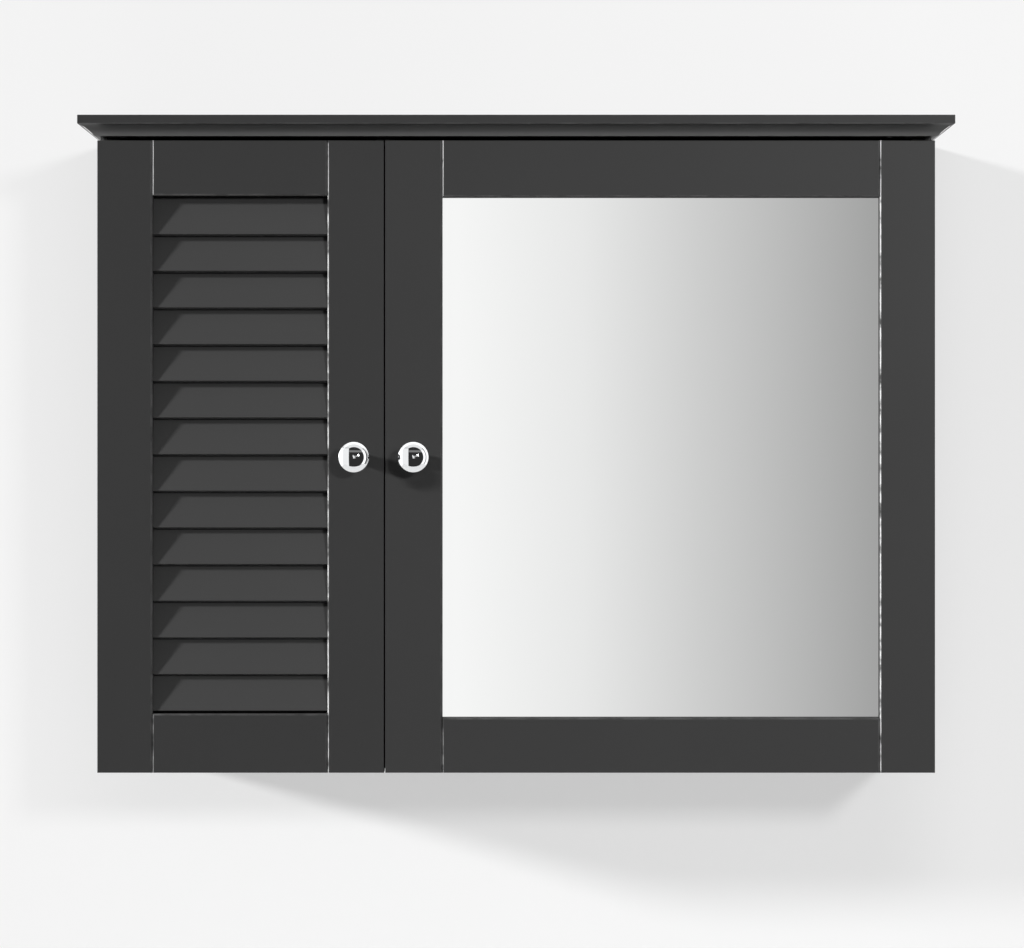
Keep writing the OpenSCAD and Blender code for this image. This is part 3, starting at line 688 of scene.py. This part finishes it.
@dataclass
class Carcass:
    """Top board and the panels behind the doors, with their eased arrises."""

    bench: Bench
    moulding: float = 13.6 * MM
    moulding_ease: float = 0.35 * MM
    moulding_angle: float = 24.0
    shortest_rim: float = 3 * MM
    hollow_normals: tuple[float, float] = (-0.97, -0.2)
    panel_ease: float = 0.5 * MM
    shortest_panel_edge: float = 40 * MM
    panels: tuple[str, ...] = ("left_side", "right_side", "bottom_panel", "divider",
                               "hanging_rail", "back_panel", "left_upper_shelf",
                               "left_lower_shelf", "right_upper_shelf", "right_lower_shelf")

    def top_board(self) -> None:
        """Soften the moulded board's long arrises and its outer corners."""
        bm = welded_copy("top_board")
        low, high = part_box("top_board")
        rim = [edge for edge in bm.edges
               if crisp(edge, self.shortest_rim, self.moulding_angle)
               and self.outside(edge, low, high)]
        ease(bm, rim, self.moulding_ease)
        bm.normal_update()
        # Faces of the hollow take lacquer with painted light: index 1 on the front, index 2 on the
        # end returns.
        lowest, highest = self.hollow_normals
        for face in bm.faces:
            if lowest < face.normal.z < highest:
                face.material_index = 1 if abs(face.normal.y) > abs(face.normal.x) else 2
        paints = self.bench.palette.further
        self.bench.piece(bm, "moulded_top_board", Slot.PAINT, "carcass", ["top_board"],
                         extra=[paints["hollow"], paints["returns"]])

    def outside(self, edge: BMEdge, low: Vector, high: Vector) -> bool:
        """Whether an edge is on the board's moulding and not round a pocket under it.

        Args:
            edge: The edge.
            low: The board's lowest corner.
            high: The board's highest corner.

        Returns:
            True where the edge is near the front or an end, or on the top face.
        """
        middle = (edge.verts[0].co + edge.verts[1].co) / 2
        front = middle.y < low.y + self.moulding
        end = abs(middle.x) > high.x - self.moulding
        return front or end or middle.z > high.z - WELD

    def build(self) -> None:
        """Make the top board and every panel."""
        self.top_board()
        for node in self.panels:
            bm = welded_copy(node)
            ease(bm, [edge for edge in bm.edges if crisp(edge, self.shortest_panel_edge)],
                 self.panel_ease)
            self.bench.piece(bm, "painted_" + node, Slot.PAINT, "carcass", [node])


@dataclass
class DoorFrame:
    """Two stiles and two rails whose bevelled front arrises are rounded over."""

    bench: Bench
    body: str
    paint: Optional[Material] = None
    wide_bevel: float = 1.0 * MM
    wide_ease: float = 0.2 * MM
    narrow_ease: float = 0.16 * MM
    back_ease: float = 0.4 * MM
    shortest_front: float = 25 * MM
    shortest_back: float = 60 * MM
    front_normal: float = -0.9
    bevel_normal: float = -0.4
    members: tuple[str, ...] = ("hinge_stile", "knob_stile", "top_rail", "bottom_rail")
    # Painted highlight: how strongly each member's bevels that face the window are marked pale;
    # other bevels keep a light wear mark.
    left_bevel_highlight: tuple[float, ...] = (2.6, 2.0, 5.0, 0.7)
    other_wear: float = 0.1

    def member(self, node: str, wear: float) -> None:
        """Copy one member and round its arrises.

        Args:
            node: The member's CAD node.
            wear: How much painted highlight is laid on its bevels that face left, through the
                rubbed-paint mark.
        """
        bm = welded_copy(node)
        low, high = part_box(node)
        for face in bm.faces:
            if not self.front_normal < face.normal.y < self.bevel_normal:
                continue
            # Wide bevels that face left get the painted highlight mark.
            if strip_width(face) > self.wide_bevel:
                left = face.normal.x < self.bevel_normal
                mark_arris(bm, [face], wear if left else self.other_wear)
            # Narrow bevels take the dull lacquer with painted shade.
            else:
                face.material_index = 1
        ease(bm, self.front_arrises(bm, low.y, wide=True), self.wide_ease)
        # Narrow front arrises also take the dull lacquer with painted shade.
        narrow = self.front_arrises(bm, low.y, wide=False)
        for face in ease(bm, narrow, self.narrow_ease, rubbed=False):
            face.material_index = 1
        back = [edge for edge in bm.edges if crisp(edge, self.shortest_back, steepest=60.0)
                and min(vert.co.y for vert in edge.verts) > high.y - WELD]
        ease(bm, back, self.back_ease)
        self.bench.piece(bm, "painted_" + node, Slot.PAINT, self.body, [node],
                         extra=[self.bench.palette.further["dull_with_painted_shade"]], finish=self.paint)

    def front_arrises(self, bm: BMesh, front_y: float, wide: bool) -> list[BMEdge]:
        """Find the edges between the front face and its bevels.

        Args:
            bm: The member.
            front_y: Where the front face lies.
            wide: Whether the wide bevels are wanted, or else the narrow ones.

        Returns:
            The edges beside those bevels.
        """
        found = []
        for edge in bm.edges:
            if not crisp(edge, self.shortest_front, steepest=40.0):
                continue
            if max(abs(vert.co.y - front_y) for vert in edge.verts) > WELD:
                continue
            bevel = max(edge.link_faces, key=lambda face: face.normal.y)
            if bevel.normal.y < self.front_normal:
                continue
            if (strip_width(bevel) > self.wide_bevel) == wide:
                found.append(edge)
        return found

    def build(self) -> None:
        """Make the four members."""
        for member, wear in zip(self.members, self.left_bevel_highlight):
            self.member(self.body + "_" + member, wear)


@dataclass
class Louvres:
    """Slats that lean back as they rise, their ends housed in the stiles."""

    bench: Bench
    count: int = 14
    width: float = 29.4 * MM
    thickness: float = 5.0 * MM
    tilt: float = math.radians(15.5)
    edge_round: float = 0.4 * MM

    def slat(self, node: str) -> None:
        """Make one slat.

        Args:
            node: The CAD node that it stands for.
        """
        low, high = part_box(node)
        half = Vector((high.x - low.x, self.thickness, self.width)) / 2
        bm = box_mesh(-half, half)
        long_edges = [edge for edge in bm.edges
                      if abs(edge.verts[0].co.x - edge.verts[1].co.x) > WELD]
        ease(bm, long_edges, self.edge_round, 3, rubbed=False)
        lean = Matrix.Rotation(-self.tilt, 4, "X")
        bmesh.ops.transform(bm, matrix=Matrix.Translation((low + high) / 2) @ lean, verts=bm.verts)
        # The slats take the paler lacquer with painted light.
        self.bench.piece(bm, "painted_" + node, Slot.PAINT, "left_door", [node],
                         finish=self.bench.palette.further["slats"])

    def build(self) -> None:
        """Make every slat."""
        for number in range(1, self.count + 1):
            self.slat(f"slat_{number:02d}")


@dataclass
class MirrorPane:
    """Silvered glass with ground arrises, and its hardboard backing."""

    bench: Bench
    ground_edge: float = 0.5 * MM
    board_ease: float = 0.3 * MM
    shortest_board_edge: float = 100 * MM
    flat: float = 0.99

    def glass(self) -> None:
        """Make the pane: silver in front, green at the ground edges and paint behind."""
        bm = box_mesh(*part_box("mirror_glass"))
        ease(bm, bm.edges, self.ground_edge, rubbed=False)
        bm.normal_update()
        for face in bm.faces:
            if face.normal.y > self.flat:
                face.material_index = 2
            elif face.normal.y > -self.flat:
                face.material_index = 1
        paints = self.bench.palette.further
        self.bench.piece(bm, "silvered_mirror", Slot.MIRROR, "right_door", ["mirror_glass"],
                         extra=[paints["glass_edge"], paints["glass_back"]])

    def backing(self) -> None:
        """Make the backing board with its screw holes."""
        bm = welded_copy("mirror_backing")
        ease(bm, [edge for edge in bm.edges if crisp(edge, self.shortest_board_edge, 60.0)],
             self.board_ease, 1)
        self.bench.piece(bm, "hardboard_backing", Slot.HARDBOARD, "right_door", ["mirror_backing"])

    def build(self) -> None:
        """Make the pane and its backing."""
        self.glass()
        self.backing()


@dataclass
class Knob:
    """Turned knob: a shallow crown with a bevelled rim, on a waisted neck with a foot."""

    bench: Bench
    node: str
    body: str
    diameter: float = 22.5 * MM
    reach: float = 23.0 * MM
    crown_radius: float = 14.5 * MM
    rim_width: float = 1.6 * MM
    rim_fall: float = 1.5 * MM
    edge: float = 0.8 * MM
    edge_round: float = 0.2 * MM
    waist: float = 5.2 * MM
    neck: float = 4.4 * MM
    neck_sweep: float = 3.2 * MM
    foot: float = 7.0 * MM
    foot_height: float = 1.3 * MM
    foot_lip: float = 0.4 * MM
    steps: int = 72

    def profile(self) -> list[tuple[float, float]]:
        """Points from the top of the crown down to the middle of the foot.

        Returns:
            The profile as radius and height.
        """
        rim = self.diameter / 2
        crown_centre = self.reach - self.crown_radius
        slope = math.acos((rim - self.rim_width) / self.crown_radius)
        rim_z = crown_centre + self.crown_radius * math.sin(slope) - self.rim_fall
        round_off = self.edge_round
        sweep, lip = self.neck_sweep, self.foot_lip
        cup_top = rim_z - self.edge - self.waist
        return [
            *arc((0.0, crown_centre), self.crown_radius, 90.0, math.degrees(slope), 22),
            *arc((rim - round_off, rim_z - round_off / 2), round_off, 47.0, 0.0, 4),
            *arc((rim - round_off, rim_z - self.edge + round_off), round_off, 0.0, -70.0, 4),
            *arc((rim - 2 * round_off, cup_top), self.waist, 90.0, 178.0, 10),
            *arc((self.neck + sweep, self.foot_height + sweep), sweep, 182.0, 258.0, 8),
            *arc((self.foot - lip, self.foot_height - lip), lip, 85.0, 0.0, 3),
            (self.foot, 0.0),
            (0.0, 0.0),
        ]

    def build(self) -> None:
        """Spin the knob off the door's face."""
        low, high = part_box(self.node)
        foot = Vector(((low.x + high.x) / 2, high.y, (low.z + high.z) / 2))
        bm = bmesh.new()
        spin(bm, self.profile(), foot, Vector((0.0, -1.0, 0.0)), self.steps)
        self.bench.piece(bm, "turned_" + self.node, Slot.CHROME, self.body, [self.node], 40.0)


@dataclass
class Bumpers:
    """Domed clear pads that a door closes on."""

    bench: Bench
    node: str
    body: str
    dome: float = 0.5 * MM
    crown: float = 0.05 * MM
    steps: int = 32

    def build(self) -> None:
        """Spin both pads off the back of the door."""
        low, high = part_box(self.node)
        radius = (high.x - low.x) / 2
        height = high.y - low.y
        shoulder = arc((radius - self.dome, height - self.dome), self.dome, 80.0, 0.0, 6)
        profile = [(0.0, height), (radius / 2, height - self.crown), *shoulder, (radius, 0.0),
                   (0.0, 0.0)]
        bm = bmesh.new()
        for z in (low.z + radius, high.z - radius):
            foot = Vector((low.x + radius, low.y, z))
            spin(bm, profile, foot, Vector((0.0, 1.0, 0.0)), self.steps)
        self.bench.piece(bm, "domed_" + self.node, Slot.RUBBER, self.body, [self.node], 40.0)


@dataclass
class Ironmongery:
    """Plates, catches and everything else that keeps its CAD shape."""

    bench: Bench
    shortest_edge: float = 4 * MM
    eased: tuple[tuple[str, str, Slot, str, float], ...] = (
        ("top_pivot_plates", "coated_top_plates", Slot.BLACK_STEEL, "carcass", 0.25 * MM),
        ("bottom_pivot_plates", "coated_bottom_plates", Slot.BLACK_STEEL, "carcass", 0.25 * MM),
        ("catch_bodies", "moulded_catch_bodies", Slot.CASE, "carcass", 0.4 * MM),
        ("left_strike_plate", "plated_left_strike", Slot.ZINC, "left_door", 0.25 * MM),
        ("right_strike_plate", "plated_right_strike", Slot.ZINC, "right_door", 0.25 * MM),
    )
    kept: dict[Slot, tuple[str, ...]] = field(default_factory=lambda: {
        Slot.ZINC: ("shelf_pins", "cam_locks", "cam_bolts", "divider_screws", "back_panel_nails",
                    "pivot_plate_screws", "catch_magnets", "catch_screws",
                    "left_knob_screw", "right_knob_screw", "left_strike_screws",
                    "right_strike_screws", "mirror_backing_screws"),
        Slot.BLACK_STEEL: ("pivot_pins",),
        Slot.NYLON: ("left_door_bushes", "right_door_bushes"),
    })

    def build(self) -> None:
        """Soften the outer arrises of plates and cases, and finish the rest as it is."""
        for node, name, slot, body, radius in self.eased:
            bm = welded_copy(node)
            ease(bm, [edge for edge in bm.edges if crisp(edge, self.shortest_edge, 60.0)], radius)
            self.bench.piece(bm, name, slot, body, [node])
        for slot, nodes in self.kept.items():
            for node in nodes:
                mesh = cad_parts[node].data
                mesh.materials.clear()
                mesh.materials.append(self.bench.palette.by_slot[slot])
                log.info("%s: CAD shape in %s", node, slot.value)


# The studio


@dataclass(frozen=True)
class Panel:
    """Part of the studio that only polished surfaces see.

    It is given in degrees, by how far a mirror facing straight out turns to the right and up to
    show it, and by how far it turns in all.
    """

    left: float
    right: float
    low: float
    high: float
    level: float
    soft: float = 1.0
    inner: float = -5.0
    outer: float = 95.0


@dataclass(frozen=True)
class Lamp:
    """A lamp and the point that it is aimed at. Its size is its side, or an angle for a sun."""

    name: str
    kind: str
    place: tuple[float, float, float]
    aim: tuple[float, float, float]
    energy: float
    size: float
    mirrored: bool = True


@dataclass
class Studio:
    """Wall, floor, lamps, surroundings and camera."""

    wall_y: float = 2.0 * MM
    wall_half: float = 1.6
    wall_top: float = 1.1
    floor_z: float = -1.3
    floor_half: float = 1.6
    floor_front: float = -0.85
    wall_tone: float = 0.82
    hole_margin: float = 4.0 * MM
    hole_inset: float = 0.2
    screw_x: float = 250.0 * MM
    screw_cover: float = 6.0 * MM
    screw_hole_shade: float = 0.02
    background: float = 0.91
    glow_tone: float = 0.91
    glow_left: float = 0.8
    glow_under: float = 0.56
    glow_right: float = 0.74
    glow_left_edge: tuple[float, float] = (-0.42, -0.28)
    glow_right_edge: tuple[float, float] = (0.28, 0.38)
    ambient: float = 0.12
    sky_heights: tuple[float, float] = (-0.2, 0.9)
    sky_levels: tuple[float, float] = (0.8, 0.9)
    lamps: tuple[Lamp, ...] = (
        Lamp("window_key", "SUN", (-2.745, -0.999, 0.765), (0.0, 0.0, 0.0), 5.3,
             math.radians(5.0), False),
        Lamp("right_lamp", "AREA", (1.56, -3.5, 0.66), (-0.05, -0.15, -0.25), 12.5, 0.4),
        Lamp("right_lamp_matt", "AREA", (1.56, -3.5, 0.66), (-0.05, -0.15, -0.25), 55.0, 0.4,
             False),
        Lamp("back_fill", "AREA", (1.2, 2.2, 0.8), (0.0, 0.0, -0.2), 45.0, 1.5),
    )
    panels: tuple[Panel, ...] = (
        Panel(-15.0, 95.0, -95.0, 95.0, 0.03, 0.6, outer=31.0),
        Panel(-15.0, 95.0, 14.5, 20.5, 0.22, 1.2, outer=31.0),
        Panel(-34.0, -15.0, -29.0, 29.0, 0.5, 0.5),
        Panel(-34.0, -15.0, -26.5, 26.5, 0.97, 0.5),
        Panel(-95.0, -34.0, -27.0, 27.0, 1.3, 0.8),
        Panel(12.0, 95.0, -20.0, 20.0, 1.4, 1.5, 31.0, 38.5),
        Panel(12.0, 95.0, -26.0, 28.0, 0.03, 0.6, 38.6, 41.9),
        Panel(-95.0, 95.0, -95.0, 95.0, 1.3, 0.5, 42.0, 44.5),
        Panel(-49.5, -38.0, 0.5, 14.0, 3.0, 1.5),
        Panel(6.0, 17.0, 1.5, 4.5, 0.6, 0.8),
        Panel(-3.0, -0.8, 1.0, 6.0, 1.0, 0.6),
    )
    card: Panel = Panel(-1.8, 5.5, -3.6, 3.6, 0.0, 0.5)
    card_levels: tuple[tuple[float, float], ...] = ((-0.6, 1.02), (0.75, 0.89), (2.0, 0.68),
                                                   (3.85, 0.41), (6.0, 0.24))
    open_end: float = 90.0
    camera_place: tuple[float, float, float] = (-0.0031, -2.1565, -0.22145)
    camera_lens: float = 94.38
    camera_sensor: float = 36.0

    def backdrop_material(self, name: str, single_sided: bool) -> Material:
        """Pale matt paint mixed with glow, which keeps the object's shadow softly; the glow's share
        is lower under the cabinet, so the shadow shows deeper there, and higher at the sides, where
        it fades.

        Args:
            name: The material's name.
            single_sided: Whether it is clear from behind.

        Returns:
            The new material.
        """
        made, graph = blank(name)
        path = graph.node("ShaderNodeLightPath").outputs
        gloss = graph.math("MAXIMUM", path["Is Glossy Ray"], path["Is Transmission Ray"])
        direct = graph.math("MAXIMUM", path["Is Camera Ray"], gloss)
        across = graph.part(graph.node("ShaderNodeTexCoord").outputs["Object"], "X")
        # The glow's share changes across the wall, fading the cabinet's shadow at the sides more
        # than beneath it.
        left = graph.ramp(across, *self.glow_left_edge, self.glow_left, self.glow_under)
        right = graph.ramp(across, *self.glow_right_edge, 0.0, self.glow_right - self.glow_under)
        share = graph.math("MULTIPLY", direct, graph.math("ADD", left, right))
        paint = graph.node("ShaderNodeBsdfDiffuse", {"Color": grey(self.wall_tone)})
        light = graph.node("ShaderNodeEmission", {"Color": grey(self.glow_tone), "Strength": 1.0})
        shader = graph.fade(share, paint, light)
        if single_sided:
            shader = graph.one_sided(shader)
        graph.node("ShaderNodeOutputMaterial", {"Surface": shader})
        return made

    def staged(self, bm: BMesh, name: str, material: Material) -> None:
        """Add a surface that isn't part of the cabinet.

        Args:
            bm: The shape. It is freed.
            name: The object's name.
            material: Its material.
        """
        mesh = bpy.data.meshes.new(name)
        bm.to_mesh(mesh)
        bm.free()
        mesh.materials.append(material)
        made = bpy.data.objects.new(name, mesh)
        bpy.context.scene.collection.objects.link(made)

    def wall(self) -> None:
        """Hang a pale wall behind the cabinet, open where the cabinet covers it."""
        bm = bmesh.new()
        bmesh.ops.create_grid(bm, x_segments=1, y_segments=1, size=1.0,
                              matrix=Matrix.Rotation(math.radians(90.0), 4, "X"))
        inner = bmesh.ops.inset_individual(bm, faces=bm.faces[:], thickness=self.hole_inset)
        hole = [face for face in bm.faces if face not in inner["faces"]]
        low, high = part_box("left_side")[0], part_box("right_side")[1]
        margin = self.hole_margin
        inside = {vert for face in hole for vert in face.verts}
        for vert in bm.verts:
            left, under = vert.co.x < 0, vert.co.z < 0
            if vert in inside:
                x = low.x + margin if left else high.x - margin
                z = low.z + margin if under else high.z - margin
            else:
                x = -self.wall_half if left else self.wall_half
                z = self.floor_z if under else self.wall_top
            vert.co = (x, self.wall_y, z)
        bmesh.ops.delete(bm, geom=hole, context="FACES_ONLY")
        bm.normal_update()
        bmesh.ops.reverse_faces(bm, faces=[face for face in bm.faces if face.normal.y > 0])
        self.staged(bm, "backdrop_wall", self.backdrop_material("Pale Wall", True))

    def floor(self) -> None:
        """Lay a pale floor well below the cabinet, from the wall to a little in front of it."""
        bm = bmesh.new()
        middle = Vector((0.0, self.floor_front / 2, self.floor_z))
        half = Vector((self.floor_half, -self.floor_front / 2, 1.0, 1.0))
        bmesh.ops.create_grid(bm, x_segments=1, y_segments=1, size=1.0,
                              matrix=Matrix.Translation(middle) @ Matrix.Diagonal(half))
        self.staged(bm, "backdrop_floor", self.backdrop_material("Pale Floor", False))

    def screw_covers(self) -> None:
        """Painted shade: dark discs on the wall behind the two wall-screw holes, where the glowing
        wall would otherwise show bright.
        """
        made, graph = blank("Shaded Wall")
        paint = graph.node("ShaderNodeBsdfDiffuse", {"Color": grey(self.screw_hole_shade)})
        graph.node("ShaderNodeOutputMaterial", {"Surface": graph.one_sided(paint)})
        bm = bmesh.new()
        upright = Matrix.Rotation(math.radians(90.0), 4, "X")
        for x in (-self.screw_x, self.screw_x):
            bmesh.ops.create_circle(bm, cap_ends=True, segments=24, radius=self.screw_cover,
                                    matrix=Matrix.Translation((x, self.wall_y, 0.0)) @ upright)
        self.staged(bm, "backdrop_screw_covers", made)

    def hang(self, lamp: Lamp) -> None:
        """Hang a lamp.

        Args:
            lamp: Its settings.
        """
        data = bpy.data.lights.new(lamp.name, lamp.kind)
        data.energy = lamp.energy
        if lamp.kind == "SUN":
            data.angle = lamp.size
        else:
            data.size = lamp.size
        made = bpy.data.objects.new(lamp.name, data)
        made.location = lamp.place
        made.rotation_mode = "QUATERNION"
        travel = Vector(lamp.aim) - Vector(lamp.place)
        made.rotation_quaternion = travel.to_track_quat("-Z", "Y")
        made.visible_glossy = lamp.mirrored
        bpy.context.scene.collection.objects.link(made)

    def surroundings(self) -> None:
        """Pale background for the camera, plain ambient light, and a studio for reflections."""
        world = bpy.data.worlds.new("Studio")
        world.use_nodes = True
        bpy.context.scene.world = world
        graph = Graph(world.node_tree)
        way = graph.node("ShaderNodeTexCoord").outputs["Generated"]
        facing = graph.node("ShaderNodeVectorMath", {0: way, 1: (0.0, -1.0, 0.0)}, operation="ADD")
        facing = graph.node("ShaderNodeVectorMath", {0: facing}, operation="NORMALIZE")
        turns = [graph.math("ARCSINE", graph.part(facing, axis)) for axis in ("X", "Z")]
        away = graph.math("MULTIPLY", graph.part(facing, "Y"), -1.0)
        turns.append(graph.math("ARCCOSINE", away))
        tilts = [graph.math("DEGREES", turn) for turn in turns]
        level = graph.ramp(graph.part(way, "Z"), *self.sky_heights, *self.sky_levels)
        for panel in self.panels:
            level = graph.mix(self.mask(graph, panel, tilts), level, panel.level)
        sheen = self.card_levels[0][1]
        for (start, above), (end, below) in zip(self.card_levels, self.card_levels[1:]):
            step = graph.ramp(tilts[0], start, end, 0.0, below - above, False)
            sheen = graph.math("ADD", sheen, step)
        level = graph.mix(self.mask(graph, self.card, tilts), level, sheen)
        path = graph.node("ShaderNodeLightPath").outputs
        shown = graph.mix(path["Is Glossy Ray"], self.ambient, level)
        direct = graph.math("MAXIMUM", path["Is Camera Ray"], path["Is Transmission Ray"])
        shown = graph.mix(direct, shown, self.background)
        sky = graph.node("ShaderNodeBackground", {"Color": grey(1.0), "Strength": shown})
        graph.node("ShaderNodeOutputWorld", {"Surface": sky})

    def mask(self, graph: Graph, panel: Panel, tilts: Sequence[NodeSocket]) -> NodeSocket:
        """Where a panel of the studio is.

        Args:
            graph: The world's tree.
            panel: The panel.
            tilts: How far a mirror turns to the right, up and in all, in degrees.

        Returns:
            A socket that is 1 on the panel and 0 off it.
        """
        limits = ((panel.left, panel.right), (panel.low, panel.high), (panel.inner, panel.outer))
        mask = 1.0
        for tilt, (start, end) in zip(tilts, limits):
            if start > -self.open_end:
                rising = graph.ramp(tilt, start - panel.soft, start + panel.soft)
                mask = graph.math("MULTIPLY", mask, rising)
            if end < self.open_end:
                falling = graph.ramp(tilt, end - panel.soft, end + panel.soft, 1.0, 0.0)
                mask = graph.math("MULTIPLY", mask, falling)
        return mask

    def camera(self) -> None:
        """Stand the camera straight in front, as in the photograph."""
        data = bpy.data.cameras.new("portrait")
        data.lens = self.camera_lens
        data.sensor_width = self.camera_sensor
        made = bpy.data.objects.new("portrait", data)
        made.location = self.camera_place
        made.rotation_euler = (math.radians(90.0), 0.0, 0.0)
        bpy.context.scene.collection.objects.link(made)
        bpy.context.scene.camera = made

    def build(self) -> None:
        """Set up everything round the cabinet."""
        bpy.context.scene.view_settings.view_transform = "Standard"
        self.wall()
        self.floor()
        self.screw_covers()
        for lamp in self.lamps:
            self.hang(lamp)
        self.surroundings()
        self.camera()


def main() -> None:
    """Build the studio and every sub-assembly."""
    logging.basicConfig(level=logging.INFO, format="%(message)s")
    Studio().build()
    bench = Bench(Palette())
    parts = (
        Carcass(bench),
        DoorFrame(bench, "left_door"),
        # The right door's frame takes the paler lacquer with painted sheen.
        DoorFrame(bench, "right_door", bench.palette.further["right_door"]),
        Louvres(bench),
        MirrorPane(bench),
        Knob(bench, "left_knob", "left_door"),
        Knob(bench, "right_knob", "right_door"),
        Bumpers(bench, "left_door_bumpers", "left_door"),
        Bumpers(bench, "right_door_bumpers", "right_door"),
        Ironmongery(bench),
    )
    for part in parts:
        part.build()
        log.info("%s done", type(part).__name__)


if __name__ == "__main__":
    main()
